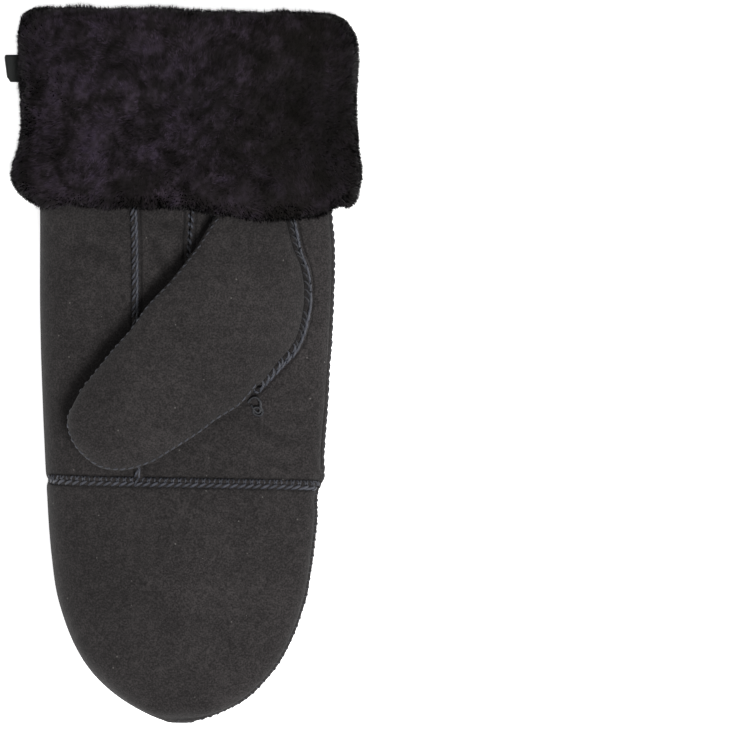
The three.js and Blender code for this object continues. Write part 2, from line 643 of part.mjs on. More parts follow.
// The label: a ribbon folded in half, its fold outside and its ends in the wool.
const labelSurface = cuffPoint(-1, labelAlong, 1, 0.85);
const labelStart = labelSurface.x + labelRoot;
const labelOpening = labelRibbon; // between its two layers
function labelGeometry() {
  const long = labelReach + labelRoot;
  const outer = labelRibbon + labelOpening / 2;
  const inner = labelOpening / 2;
  const bend = 6;
  const arc = (radius, from, to) =>
    Array.from({ length: bend + 1 }, (_, i) => {
      const angle = THREE.MathUtils.lerp(from, to, i / bend);
      return new THREE.Vector2(long - outer + radius * Math.cos(angle), radius * Math.sin(angle));
    });
  const half = Math.PI / 2;
  const outline = [
    new THREE.Vector2(0, -outer),
    ...arc(outer, -half, half),
    new THREE.Vector2(0, outer),
    new THREE.Vector2(0, inner),
    ...arc(inner, half, -half),
    new THREE.Vector2(0, -inner),
  ];
  const options = { depth: labelWidth, bevelEnabled: false };
  return new THREE.ExtrudeGeometry(new THREE.Shape(outline), options)
    .rotateX(-Math.PI / 2)
    .rotateZ(Math.PI)
    .translate(labelStart, labelAlong + labelWidth / 2, labelSurface.z);
}
function labelSlot() {
  const high = 2 * labelRibbon + labelOpening + 2 * fit;
  const long = labelRoot + labelReach + fit;
  return new THREE.BoxGeometry(long, labelWidth + 2 * fit, high).translate(
    labelStart + fit - long / 2,
    labelAlong,
    labelSurface.z,
  );
}

const colours = { suede: "#332f30", wool: "#1c191c", ribbon: "#29292b" };
const materialOf = (color, roughness) =>
  new THREE.MeshStandardMaterial({ color, roughness, metalness: 0 });
const palmEnds = { left: true, right: true, end: true };
const cuffWithSlot = solidOf(cuffGeometry()).subtract(solidOf(labelSlot()));

const pieces = [
  ["palm_tip", tipGeometry(1, crossSeamAt)],
  ["palm_outer", palmOuterGeometry()],
  ["palm_main", palmMainGeometry()],
  ["thumb_face", panelGeometry(thumbFaceSkin, 8, 26, palmEnds, 0.12)],
  ["thumb_under", panelGeometry(thumbUnderSkin, 6, 24, palmEnds, 0.88)],
  ["back_tip", tipGeometry(-1, backCrossAt)],
  ["back_outer", backOuterGeometry()],
  ["back_upper", backUpperGeometry()],
  ["back_lower", backLowerGeometry()],
  ["fur_cuff", geometryOf(cuffWithSlot), materialOf(colours.wool, 1)],
  ["side_label", labelGeometry(), materialOf(colours.ribbon, 0.4)],
];

const mitten = new THREE.Group();
for (const [name, geometry, material = materialOf(colours.suede, 0.9)] of pieces) {
  const mesh = new THREE.Mesh(geometry, material);
  mesh.name = name;
  mitten.add(mesh);
}
const box = new THREE.Box3().setFromObject(mitten);
const centre = box.getCenter(new THREE.Vector3());
mitten.children.forEach((mesh) => mesh.geometry.translate(-centre.x, -centre.y, -box.min.z));

export default mitten;
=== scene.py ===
"""Looks for a left-hand sheepskin mitten that lies on its back: suede panels with sewn outseams, whip
stitches, and a deep cuff of turned-back wool.

Until a mesh is made, lengths are in millimetres in the part's own frame: X to the thumb's side, Y from
the fingertips to the mouth, Z up. Turn runs from -1 at the little finger's edge to 1 at the thumb's."""

import itertools
import math

import bpy
import numpy as np
from mathutils.kdtree import KDTree
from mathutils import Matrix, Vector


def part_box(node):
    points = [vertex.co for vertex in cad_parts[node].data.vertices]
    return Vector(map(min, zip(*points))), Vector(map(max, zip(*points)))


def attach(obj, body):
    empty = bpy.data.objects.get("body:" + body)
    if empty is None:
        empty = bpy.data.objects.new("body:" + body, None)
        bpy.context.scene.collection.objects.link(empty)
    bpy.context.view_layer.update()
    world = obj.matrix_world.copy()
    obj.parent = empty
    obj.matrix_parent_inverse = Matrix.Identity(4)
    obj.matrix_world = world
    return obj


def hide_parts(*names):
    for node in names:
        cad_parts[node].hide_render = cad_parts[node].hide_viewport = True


# The part's sizes, with the same names and values as in its source.
TOTAL_LENGTH = 280
HAND_WIDTH = 114
HAND_THICKNESS = 27
SKIN_WALL = 2.4
SEAM_GAP = 0.5
SEAM_HEIGHT = 1.4
CROSS_SEAM_ALONG = 94
CROTCH_ALONG = 130
THUMB_REACH = 70
THUMB_WIDTH = 55
THUMB_TURN = math.radians(38)
THUMB_EDGE_LIFT = 8.5
THUMB_RISE = 11
CUFF_DEPTH = 80
CUFF_STAND_OFF = 2.6
CUFF_OVER_THUMB = 7
CUFF_PILE_SIDE = 8
CUFF_PILE_TOP = 11
MOUTH_ROLL = 10
MOUTH_LIP = 7
MOUTH_PILE = 3.6
MOUTH_PILE_DEPTH = 52
LABEL_REACH = 5.6
LABEL_ROOT = 4
LABEL_ALONG = 256
LABEL_RIBBON = 0.6
FIT = 0.4
HALF_WIDTH = HAND_WIDTH / 2
PANEL_END = TOTAL_LENGTH - MOUTH_ROLL
HEM_ALONG = TOTAL_LENGTH - CUFF_DEPTH
LITTLE_EDGE = 0.32
THUMB_EDGE = 0.46
SQUARENESS = 0.55
BACK_FLAT = 1.35
THUMB_BED = SEAM_HEIGHT + FIT

# The tables that the part's source has too, each with what its columns are.
# along, left, right, full, seat
HAND_SECTIONS = [
    (0.0, -0.09, 0.04, 0.0, 0.04),
    (0.014, -0.245, 0.215, 0.42, 0.02),
    (0.031, -0.385, 0.375, 0.6, 0.0),
    (0.064, -0.57, 0.548, 0.78, 0.0),
    (0.098, -0.692, 0.666, 0.88, 0.0),
    (0.165, -0.822, 0.802, 0.96, 0.0),
    (0.232, -0.878, 0.86, 1.0, 0.0),
    (0.333, -0.915, 0.915, 1.0, 0.0),
    (0.45, -0.94, 0.955, 1.0, 0.0),
    (0.57, -0.957, 0.995, 0.99, 0.03),
    (0.65, -0.955, 1.007, 0.96, 0.15),
    (0.72, -0.953, 0.99, 0.94, 0.28),
    (0.8, -0.95, 0.97, 0.95, 0.32),
    (1.0, -0.945, 0.965, 1.0, 0.32),
]
# across, along, wide, long, deep
PALM_DENTS = [
    (0.72, 0.39, 0.16, 0.03, 0.045),
    (0.9, 0.44, 0.1, 0.05, 0.03),
    (-0.62, 0.66, 0.22, 0.03, 0.035),
    (0.4, 0.2, 0.3, 0.08, 0.03),
]
PALM_SEAM = {"mouth": -0.37, "cross": -0.325}
CROSS_SEAM_TILT = 1.4
BACK_SEAM = {"mouth": -0.31, "fork": -0.22, "cross": -0.21}
BACK_FORK_ALONG = CROSS_SEAM_ALONG + 38
SLANT_END_ALONG = CROSS_SEAM_ALONG + 78
# across, along, raise, down
HOLE_OUTER_ROWS = [
    (0.66, 0.965, 0, 1),
    (0.7, 0.8, 0, 1),
    (0.757, 0.7, 0, 1),
    (0.79, 0.661, 0, 1),
    (0.842, 0.632, 0, 1),
    (0.862, 0.605, 0, 1),
    (0.86, 0.575, 0, 1),
    (0.835, 0.547, 0, 0.95),
    (0.79, 0.524, 0.06, 0.8),
    (0.7, 0.503, 0.15, 0.5),
]
HOLE_INNER_ROWS = [
    (0.02, 0.965, 0, 1),
    (0.03, 0.8, 0.06, 0.95),
    (0.035, 0.71, 0.2, 0.7),
    (0.018, 0.66, 0.23, 0.25),
    (0.03, 0.625, 0.23, 0),
    (0.06, 0.59, 0.23, 0),
    (0.115, 0.56, 0.23, 0),
    (0.21, 0.53, 0.23, 0),
    (0.33, 0.505, 0.23, 0),
]
CROTCH_ACROSS = 0.525
CROTCH_RAISE = 0.26
THUMB_ROOT_ROWS = [
    (0.34, 0.965, 0, 1),
    (0.34, 0.8, 0.04, 0.95),
    (0.3, 0.735, 0.25, 0.75),
    (0.2, 0.707, 0.5, 0.5),
    (0.065, 0.665, 0.82, 0.12),
]
# reach, over, raise
THUMB_LOOP_ROWS = [
    (0.01, 0.995, 0.96),
    (0.18, 0.958, 1),
    (0.35, 0.891, 1),
    (0.48, 0.86, 1),
    (0.61, 0.82, 1),
    (0.74, 0.778, 1),
    (0.86, 0.724, 1),
    (0.93, 0.672, 1),
    (0.975, 0.58, 1),
    (0.995, 0.47, 1),
    (0.98, 0.33, 1),
    (0.945, 0.225, 1),
    (0.89, 0.15, 1),
    (0.815, 0.092, 1),
    (0.71, 0.045, 0.98),
    (0.605, 0.025, 0.93),
    (0.5, 0.01, 0.84),
    (0.4, 0.002, 0.72),
    (0.265, 0.0, 0.52),
    (0.14, -0.018, 0.38),
    (0.06, -0.01, 0.3),
]
# way, full: as in the source, but closed at the tip
THUMB_FACE_ROWS = [
    (0.0, 0.02),
    (0.2, 0.1),
    (0.32, 0.36),
    (0.42, 0.72),
    (0.55, 0.95),
    (0.7, 1.02),
    (0.86, 0.98),
    (0.93, 0.86),
    (0.975, 0.6),
    (1.0, 0.0),
]
FACE_STRIP = {"crotch": 0.62, "mate": 0.355, "ease": 2.6}
UNDER_STRIP = {"crotch": 0.72, "mate": 0.475, "ease": 0.8, "leaves": 0.4, "lies": 0.54}
THUMB_TIP_SHARE = 0.615
THUMB_TIP_OPENING = 0.006
# along, out
CUFF_ROWS = [
    (0.0, 0.3),
    (0.02, 0.68),
    (0.06, 0.93),
    (0.13, 1.04),
    (0.21, 1.0),
    (0.3, 0.92),
    (0.39, 0.87),
    (0.48, 0.85),
    (0.57, 0.86),
    (0.66, 0.89),
    (0.75, 0.91),
    (0.84, 0.9),
    (0.92, 0.83),
    (0.97, 0.62),
]
# across, back
ROLL_ROWS = [(0.3, 0.5), (0.55, 0), (0.85, 2)]
CUFF_BULGE = {"turn": 0.3, "wide": 0.36, "fades": 0.62}

# What the dressing adds, in millimetres.
STITCH_PITCH = 3.1
THREAD_RADIUS = 0.48
THREAD_SIDES = 5
THREAD_TAPER = np.array([0.5, 0.85, 1, 1.05, 1, 0.85, 0.5])  # of the radius, from end to end
KNOT_RADIUS = 0.5
KNOT_SIDES = 7
STITCH_MARGIN = 2  # free of threads at the ends of an edge
STITCH_WANDER = 0.18  # how far a thread strays along its seam
STITCH_LIFT = 0.08  # how much higher or lower than the next a thread lies
STITCHES_END = HEM_ALONG + 14  # along the hand, out of sight under the cuff
SEWN_WITHIN = 2.5  # edges further apart than this are not sewn together
FLOOR_CLEAR = 0.02  # every side of a thread or a blade stays this far above the floor
CUFF_CLEAR = 0.05  # and the cuff's body this far
BLADE_CLEAR = 0.12  # and the middle line of a blade this far
# The columns of a panel's grid beside a seam, by how far in they are, and how wide a panel has to be to
# have them that far in. They stand closer on a narrower one.
EDGE_STEPS = np.array([0, 0.35, 0.8, 1.25, 1.6, 1.95, 2.35, 2.9, 3.6, 4.4, 5.3, 6.6])
EDGE_ROOM = 24
CLEAR_COLUMN = 2  # the first of them whose normal the edge doesn't bend

# Each thread is seven places: along the seam, in from the edge over the suede, and above it.
THREADS = {
    "rope_near": [
        (-1.6, 1.8, -0.3), (-1.2, 1.5, 0.12), (-0.5, 1.2, 0.26), (0, 0.9, 0.3),
        (0.5, 0.62, 0.28), (1, 0.4, 0.2), (1.5, 0.15, 0.1),
    ],
    "rope_far": [
        (-1.5, 0.15, 0.1), (-1, 0.4, 0.2), (-0.5, 0.62, 0.28), (0, 0.9, 0.3),
        (0.5, 1.2, 0.26), (1.2, 1.5, 0.12), (1.6, 1.8, -0.3),
    ],
    "loop": [
        (-0.9, 0.1, 0.1), (-1.15, 0.8, 0.26), (-0.8, 1.5, 0.24), (0, 1.8, 0.15),
        (0.8, 1.5, 0.24), (1.15, 0.8, 0.26), (0.9, 0.1, 0.1),
    ],
    "dash": [
        (-1.1, 6.1, -0.3), (-0.8, 6, 0.06), (-0.4, 5.9, 0.14), (0, 5.8, 0.17),
        (0.4, 5.7, 0.14), (0.8, 5.6, 0.06), (1.1, 5.5, -0.3),
    ],
    "over": [
        (-0.7, 0.2, -0.3), (-0.6, 0.6, -0.05), (-0.35, 1.1, 0.04), (0, 1.6, 0.08),
        (0.3, 2.1, 0.1), (0.6, 2.6, 0), (0.7, 3, -0.35),
    ],
}
THREADS["low"] = THREADS["rope_far"]
THREAD_LOOKS = {
    "rope_near": {"wide": 1.15, "shade": 1.0},
    "rope_far": {"wide": 1.0, "shade": 1.0},
    "loop": {"wide": 0.8, "shade": 0.95},
    "dash": {"wide": 0.7, "shade": 0.88},
    "over": {"wide": 0.75, "shade": 0.5},
    # The low row is darker, as painted shade.
    "low": {"wide": 0.85, "shade": 0.34},
}

# Along the hand, where the thumb's row of its root seam sinks out of the light and takes painted shade.
LOW_ROW_FROM = CROTCH_ALONG + 16

# The seams round the hand and the thumb: drift is how far each moves in and up, and RIM_SWELL how far
# the skin beside the hand's outer seam stands out.
SEAM_DRIFT = {"little": (0, -1.2), "side": (0, 0), "thumb": (1.0, 0.2)}
RIM_SWELL = 1.75
RIM_SWELL_FROM = (-12, 20)  # along the hand, where the swell starts and is whole
DRIFT_REACH = 3.6
# Grooves beside a seam: how far in from the edge, and how wide.
FLAT_GROOVE = (2.05, 0.4)  # at the foot of the ridge over a flat seam
RIM_GROOVE = (3.15, 0.45)  # under the lip round the hand
THUMB_GROOVE = (4.4, 0.5)  # inside the thumb's outer edge
UP = np.array([0.0, 0.0, 1.0])

# How far the wool's hem drops below the plain cuff's: turn, drop.
WOOL_HEM_ROWS = [
    (-1.0, -3),
    (-0.8, -1),
    (-0.55, -0.8),
    (-0.25, -0.3),
    (0.0, 0.5),
    (0.2, 3.5),
    (0.42, 5),
    (0.62, 2.5),
    (0.8, -1.5),
    (1.0, -1.5),
]

# The label's outer end at its lower and its upper side, along x, and those two sides, along y.
LABEL_ENDS = (-68.8, -70.1)
LABEL_SIDES = (LABEL_ALONG - 5.2, LABEL_ALONG + 5.5)

# Soft creases: from and to, in the part's frame, with how wide and deep they are.
PALM_CREASES = [
    ((38.0, 101.0), (50.0, 106.0), 1.3, 0.4),
    ((30.0, 104.0), (46.0, 99.0), 1.8, 0.35),
    ((24.0, 116.0), (46.0, 110.0), 2.6, 0.5),
    ((33.0, 121.0), (50.0, 118.0), 2.0, 0.4),
    ((-14.0, 188.0), (-4.0, 176.0), 2.4, 0.7),
    ((-10.0, 196.0), (6.0, 188.0), 2.4, 0.6),
    ((-46.0, 186.0), (-26.0, 181.0), 2.8, 0.5),
    ((-12.0, 150.0), (-6.0, 128.0), 3.0, 0.45),
]

WOOL_COLUMNS, WOOL_ROWS = 330, 104
BLADES, QUICK_BLADES = 168000, 60000
# Painted shade at each blade's root and middle and a painted highlight at its tip, as shares of its colour.
BLADE_SHADE_AND_HIGHLIGHT = np.array([0.5, 0.5, 0.85, 0.85, 1.35])
WOOL_TINT = np.array([0.1, 0.02, 0.7])  # how much of the cool tint each channel takes

# Values that are the same all over a material.
FINISHES = {
    "suede": {"Roughness": 0.92, "Specular IOR Level": 0.15, "Sheen Weight": 0.03, "Sheen Roughness": 0.6},
    "wool": {"Roughness": 0.8, "Specular IOR Level": 0.08, "Sheen Weight": 0.02, "Sheen Roughness": 0.5},
    "lining": {"Roughness": 0.9, "Sheen Weight": 0.1},
    "thread": {"Roughness": 0.55},
    "ribbon": {"Roughness": 0.45, "Specular IOR Level": 0.12, "Anisotropic": 0.4},
    "floor": {
        "Base Color": (0.9, 0.9, 0.9, 1),
        "Emission Color": (1, 1, 1, 1),
        "Emission Strength": 0.7,
        "Roughness": 0.9,
        "Specular IOR Level": 0.1,
    },
}

rng = np.random.default_rng(11)
LATTICE_SIZE = 32
LATTICE = rng.uniform(-1, 1, (LATTICE_SIZE, LATTICE_SIZE, LATTICE_SIZE))
# Turns the lattice, so that its cells lie along none of the part's sides.
LATTICE_TURN = np.array([[0.36, 0.48, -0.8], [-0.8, 0.6, 0.0], [0.48, 0.64, 0.6]])


def lerp(a, b, t):
    return a + (b - a) * t


def smoothstep(x, low, high):
    t = np.clip((x - low) / (high - low), 0, 1)
    return t * t * (3 - 2 * t)


def bell(x, middle, wide):
    return np.exp(-(((x - middle) / wide) ** 2))


def unit(vectors):
    return vectors / np.maximum(np.linalg.norm(vectors, axis=-1, keepdims=True), 1e-9)


def dot(a, b):
    return np.sum(a * b, axis=-1, keepdims=True)


def noise(points, size, channel=0):
    """Smooth noise from -1 to 1 at points, with lumps of the given size."""
    places = points @ LATTICE_TURN / size + 50 + 7.3 * channel
    cell = np.floor(places).astype(int)
    part = places - cell
    part = part * part * (3 - 2 * part)
    total = np.zeros(points.shape[:-1])
    for corner in itertools.product((0, 1), repeat=3):
        weight = np.prod(np.where(corner, part, 1 - part), axis=-1)
        i, j, k = np.moveaxis((cell + corner) % LATTICE_SIZE, -1, 0)
        total += weight * LATTICE[i, j, k]
    return total


def table_of(rows):
    """A cubic interpolation through a table whose rows are ordered by their first column."""
    table = np.array(rows, float)
    keys, values = table[:, 0], table[:, 1:]
    last = len(keys) - 1

    def at(places):
        t = np.clip(np.asarray(places, float), keys[0], keys[-1])
        after = np.clip(np.searchsorted(keys, t, side="right"), 1, last)
        before = after - 1
        start, end = keys[before], keys[after]
        previous = np.where(before > 0, before - 1, after)
        following = np.where(after < last, after + 1, before)
        half = (end - start) / 2
        w_previous = half / (start - keys[previous])
        w_following = half / (keys[following] - end)
        p = (t - start) / (end - start)
        weights = [
            (previous, w_previous * (-(p**3) + 2 * p**2 - p)),
            (before, (1 + w_previous) * p**3 - (1.5 + 2 * w_previous) * p**2 + (w_previous - 0.5) * p + 1),
            (after, (-1 - w_following) * p**3 + (1.5 + w_following) * p**2 + 0.5 * p),
            (following, w_following * (p**3 - p**2)),
        ]
        found = sum(values[index] * weight[..., None] for index, weight in weights)
        return [found[..., i] for i in range(found.shape[-1])]

    return at


hand_at = table_of(HAND_SECTIONS)
face_at = table_of(THUMB_FACE_ROWS)
wool_hem_at = table_of(WOOL_HEM_ROWS)
WOOL_HEM_ENDS = (WOOL_HEM_ROWS[0][1], WOOL_HEM_ROWS[-1][1])


def section_at(y):
    """The hand's section at y: its middle, half its width, how full it is and how far off the floor."""
    left, right, full, seat = hand_at(np.asarray(y) / TOTAL_LENGTH)
    middle = (left + right) / 2 * HALF_WIDTH
    half = (right - left) / 2 * HALF_WIDTH
    return middle, half, np.maximum(0, full), np.maximum(0, seat) * HAND_THICKNESS


def palm_dent(x, y):
    """How far the palm sinks at a place seen from above."""
    depth = 0
    for across, along, wide, long, deep in PALM_DENTS:
        dx = (x / HALF_WIDTH - across) / wide
        dy = (y / TOTAL_LENGTH - along) / long
        depth = depth + deep * np.exp(-dx * dx - dy * dy)
    return HAND_THICKNESS * depth


def section_point(turn, y, face, side, up, down):
    """A point on a section grown at its sides, above and below. face is 1 on the palm, -1 on the back."""
    middle, half, full, seat = section_at(y)
    angle = np.asarray(turn) * math.pi / 2
    arch = np.maximum(0, np.cos(angle))
    x = middle + (half + side) * np.sin(angle)
    share = lerp(LITTLE_EDGE, THUMB_EDGE, (x / HALF_WIDTH + 1) / 2)
    edge = seat + share * HAND_THICKNESS
    if face > 0:
        rise = (1 - share) * HAND_THICKNESS * full + up
        z = edge + rise * arch**SQUARENESS - palm_dent(x, y) * arch
    else:
        fall = share * HAND_THICKNESS * full + down
        z = edge - fall * np.minimum(1, BACK_FLAT * arch) ** SQUARENESS
    return np.stack(np.broadcast_arrays(x, y, z), axis=-1).astype(float)


def hand_point(turn, y, face, depth=0):
    """A point of the hand's wall, depth inside its skin."""
    y = np.asarray(y, float)
    _, half, full, _ = section_at(y)
    point = section_point(turn, y, face, -depth * half / HALF_WIDTH, -depth * full, -depth * full)
    point[..., 1] = y + depth * (1 - y / TOTAL_LENGTH)
    point[..., 2] = np.maximum(0, point[..., 2] + face * SEAM_GAP / 2)
    return point


def turn_of(x, y):
    """The turn of the hand's skin at a place seen from above."""
    middle, half, _, _ = section_at(y)
    return np.arcsin(np.clip((x - middle) / half, -1, 1)) * 2 / math.pi


def plan_x(across, y):
    """The place along x of a share of half the hand's width at y."""
    middle, half, _, _ = section_at(y)
    return middle + across * half


def seam_turn(across, y):
    return turn_of(plan_x(across, y), y)


def straight_edge(turn, from_y, to_y):
    return lambda v: (turn + 0 * v, lerp(from_y, to_y, v))


def straight_seam(from_across, from_y, to_across, to_y):
    def at(v):
        y = lerp(from_y, to_y, v)
        return seam_turn(lerp(from_across, to_across, v), y), y

    return at


def hand_skin(left, right, face):
    """A panel of the hand between two lines: points from u across, v along and a depth in the wall."""
    def skin(u, v, depth):
        left_turn, left_y = left(v)
        right_turn, right_y = right(v)
        return hand_point(lerp(left_turn, right_turn, u), lerp(left_y, right_y, u), face, depth)

    return skin


def cross_seam_at(turn):
    return CROSS_SEAM_ALONG - CROSS_SEAM_TILT * turn


def back_cross_at(turn):
    return CROSS_SEAM_ALONG - 3 - CROSS_SEAM_TILT * turn


def tip_skin(face, cross_at):
    """The panel over the fingertips, from the seam across the hand to the tip."""
    def skin(u, v, depth):
        turn = u * 2 - 1
        return hand_point(turn, cross_at(turn) * (1 - v), face, depth)

    return skin


def curve_of(rows):
    """A curve through rows of x, y, raise and down, with the distance along it from 0 to 1."""
    rows = np.array(rows, float)
    lengths = np.concatenate([[0], np.cumsum(np.hypot(*np.diff(rows[:, :2], axis=0).T))])
    return table_of(np.column_stack([lengths / lengths[-1], rows]))


def hole_row(across, along, rise, down):
    """A row of a curve on the palm from shares of its width and length."""
    y = along * TOTAL_LENGTH
    return (plan_x(across, y), y, rise, down)


CURVE_STEP = 0.004  # between the places that a curve's direction is read from
CROTCH_X = float(plan_x(CROTCH_ACROSS, CROTCH_ALONG))
CROTCH_ROW = (CROTCH_X, CROTCH_ALONG, CROTCH_RAISE, 0)


def thumb_row(reach, over, rise):
    """A row of the thumb's seam from its reach out of the crotch and its place over the thumb."""
    s, t = reach * THUMB_REACH, over * THUMB_WIDTH
    x = CROTCH_X - s * math.cos(THUMB_TURN) - t * math.sin(THUMB_TURN)
    return (x, CROTCH_ALONG - s * math.sin(THUMB_TURN) + t * math.cos(THUMB_TURN), rise, 0)


hole_outer = curve_of([hole_row(*row) for row in HOLE_OUTER_ROWS] + [CROTCH_ROW])
hole_inner = curve_of([hole_row(*row) for row in HOLE_INNER_ROWS] + [CROTCH_ROW])
root_rows = [hole_row(*row) for row in THUMB_ROOT_ROWS]
thumb_seam = curve_of(root_rows + [thumb_row(*row) for row in THUMB_LOOP_ROWS] + [CROTCH_ROW])

PALM_SEAM_TURN = float(seam_turn(PALM_SEAM["cross"], CROSS_SEAM_ALONG))
PALM_SEAM_END = cross_seam_at(PALM_SEAM_TURN)
palm_leg = straight_seam(PALM_SEAM["mouth"], PANEL_END, PALM_SEAM["cross"], PALM_SEAM_END)
PALM_BEND = 0.3  # the share of palm_main's outer line that runs down the palm's seam, and up its side
palm_side = straight_edge(1, cross_seam_at(1), PANEL_END)


def palm_main_outside(v):
    leg_turn, leg_y = palm_leg(np.clip(v / PALM_BEND, 0, 1))
    side_turn, side_y = palm_side(np.clip((v - 1) / PALM_BEND + 1, 0, 1))
    cross_turn = lerp(PALM_SEAM_TURN, 1, (v - PALM_BEND) / (1 - 2 * PALM_BEND))
    on_leg, on_side = v < PALM_BEND, v > 1 - PALM_BEND
    turn = np.where(on_leg, leg_turn, np.where(on_side, side_turn, cross_turn))
    return turn, np.where(on_leg, leg_y, np.where(on_side, side_y, cross_seam_at(cross_turn)))


def palm_main_inside(v):
    inner, outer = hole_inner(np.clip(2 * v, 0, 1)), hole_outer(np.clip(2 - 2 * v, 0, 1))
    x = np.where(v < 0.5, inner[0], outer[0])
    y = np.where(v < 0.5, inner[1], outer[1])
    return turn_of(x, y), y


def thumb_edge_point(curve, at, inward, depth, gap, ease=0):
    """A point of a sewn edge of the thumb. inward is 1 where its inside is left of the curve's way."""
    x, y, rise, down = curve(at)
    ahead, behind = curve(np.minimum(1, at + CURVE_STEP)), curve(np.maximum(0, at - CURVE_STEP))
    way = unit(np.stack([ahead[0] - behind[0], ahead[1] - behind[1]], axis=-1))
    flat = depth * np.sqrt(np.maximum(0, 1 - down * down)) + ease
    point = hand_point(turn_of(x, y), y, 1, depth * down)
    point[..., 0] -= inward * way[..., 1] * flat
    point[..., 1] += inward * way[..., 0] * flat
    point[..., 2] += rise * THUMB_EDGE_LIFT + gap
    return point


def strip_ends(hole, strip, hole_inward, v, depth, gap):
    """The two ends of a strip across the thumb, at v from the mouth to the tip."""
    share = np.minimum(1, v / strip["crotch"])
    past = np.clip((v - strip["crotch"]) / (1 - strip["crotch"]), 0, 1)
    left_at = np.where(
        v < strip["crotch"],
        strip["mate"] * share,
        lerp(strip["mate"], THUMB_TIP_SHARE - THUMB_TIP_OPENING, past),
    )
    left = thumb_edge_point(thumb_seam, left_at, 1, depth, gap)
    ease = SEAM_GAP * strip["ease"] * (1 - share**8)
    root = thumb_edge_point(hole, share, hole_inward, depth, gap * share**4, ease)
    tip = thumb_edge_point(thumb_seam, lerp(1, THUMB_TIP_SHARE + THUMB_TIP_OPENING, past), 1, depth, gap)
    return left, np.where((v < strip["crotch"])[..., None], root, tip)


def thumb_face_skin(u, v, depth):
    u, v = np.broadcast_arrays(np.asarray(u, float), np.asarray(v, float))
    left, right = strip_ends(hole_outer, FACE_STRIP, -1, v, depth, SEAM_GAP / 2)
    angle = (u - 0.5) * math.pi
    way = (1 + np.sin(angle)) / 2
    arch = np.maximum(0, np.cos(angle))
    free = smoothstep(v, FACE_STRIP["crotch"] - 0.06, FACE_STRIP["crotch"] + 0.05)
    power = np.where(u < 0.5, SQUARENESS, lerp(1, SQUARENESS, free))
    (full,) = face_at(v)
    down = thumb_seam(FACE_STRIP["mate"] * np.minimum(1, v / FACE_STRIP["crotch"]))[3]
    ends = lerp((1 + down) / 2, 0, free)
    point = lerp(left, right, way[..., None])
    point[..., 2] += (THUMB_RISE * full - depth * np.minimum(1, full) * (1 - ends)) * arch**power
    return point


def thumb_under_skin(u, v, depth):
    u, v = np.broadcast_arrays(np.asarray(u, float), np.asarray(v, float))
    left, right = strip_ends(hole_inner, UNDER_STRIP, 1, v, depth, -SEAM_GAP / 2)
    left_skin, right_skin = strip_ends(hole_inner, UNDER_STRIP, 1, v, 0, -SEAM_GAP / 2)
    angle = (u - 0.5) * math.pi
    way = (1 + np.sin(angle)) / 2
    arch = np.minimum(1, 1.25 * np.maximum(0, np.cos(angle))) ** SQUARENESS
    lies = smoothstep(v, UNDER_STRIP["leaves"], UNDER_STRIP["lies"])
    share = lies * arch * np.minimum(1, 1.1 * face_at(v)[0])
    point = lerp(left, right, way[..., None])
    skin = lerp(left_skin, right_skin, way[..., None])
    x, y = skin[..., 0], skin[..., 1]
    bed = hand_point(turn_of(x, y), y, 1)[..., 2] + THUMB_BED
    point[..., 2] += (bed - skin[..., 2]) * share + depth * share
    return point


def back_long_seam(from_y, to_y):
    def at(v):
        y = lerp(from_y, to_y, v)
        below = (y - CROSS_SEAM_ALONG) / (BACK_FORK_ALONG - CROSS_SEAM_ALONG)
        above = (y - BACK_FORK_ALONG) / (PANEL_END - BACK_FORK_ALONG)
        low = lerp(BACK_SEAM["cross"], BACK_SEAM["fork"], below)
        high = lerp(BACK_SEAM["fork"], BACK_SEAM["mouth"], above)
        return seam_turn(np.where(y < BACK_FORK_ALONG, low, high), y), y

    return at


BACK_SEAM_TURN = float(seam_turn(BACK_SEAM["cross"], CROSS_SEAM_ALONG))
BACK_CROSS_END = back_cross_at(BACK_SEAM_TURN)
palm_rim = straight_edge(-1, PANEL_END, cross_seam_at(-1))
back_rim = straight_edge(-1, PANEL_END, back_cross_at(-1))
back_seam = back_long_seam(PANEL_END, BACK_CROSS_END)
back_seam_above = back_long_seam(PANEL_END, BACK_FORK_ALONG)
back_seam_below = back_long_seam(BACK_FORK_ALONG, BACK_CROSS_END)
back_side_above = straight_edge(1, PANEL_END, SLANT_END_ALONG)
back_side_below = straight_edge(1, SLANT_END_ALONG, back_cross_at(1))
LONG_SIDES, ALL_SIDES = ("left", "right"), ("left", "right", "start", "end")
PALM_SIDES = ("left", "right", "end")
# name: skin, spacing of columns and of rows, sewn sides, the line that the rows are even along. The
# stitches of a seam are made on the first of its two panels.
PANELS = {
    "palm_tip": (tip_skin(1, cross_seam_at), 1.5, 1.2, ALL_SIDES, 0.06),
    "palm_main": (hand_skin(palm_main_outside, palm_main_inside, 1), 1.5, 1.1, LONG_SIDES, 0.25),
    "palm_outer": (hand_skin(palm_rim, palm_leg, 1), 1.5, 1.2, PALM_SIDES, 0.5),
    "thumb_face": (thumb_face_skin, 1.5, 1.1, PALM_SIDES, 0.12),
    "thumb_under": (thumb_under_skin, 2.5, 1.3, PALM_SIDES, 0.88),
    "back_tip": (tip_skin(-1, back_cross_at), 2.5, 1.6, ALL_SIDES, 0.06),
    "back_outer": (hand_skin(back_rim, back_seam, -1), 2.5, 1.6, PALM_SIDES, 0.5),
    "back_upper": (hand_skin(back_seam_above, back_side_above, -1), 2.5, 1.6, PALM_SIDES, 0.5),
    "back_lower": (hand_skin(back_seam_below, back_side_below, -1), 2.5, 1.6, ALL_SIDES, 0.5),
}
ORDER = list(PANELS)
PALM_PANELS = ("palm_main", "palm_outer", "palm_tip")


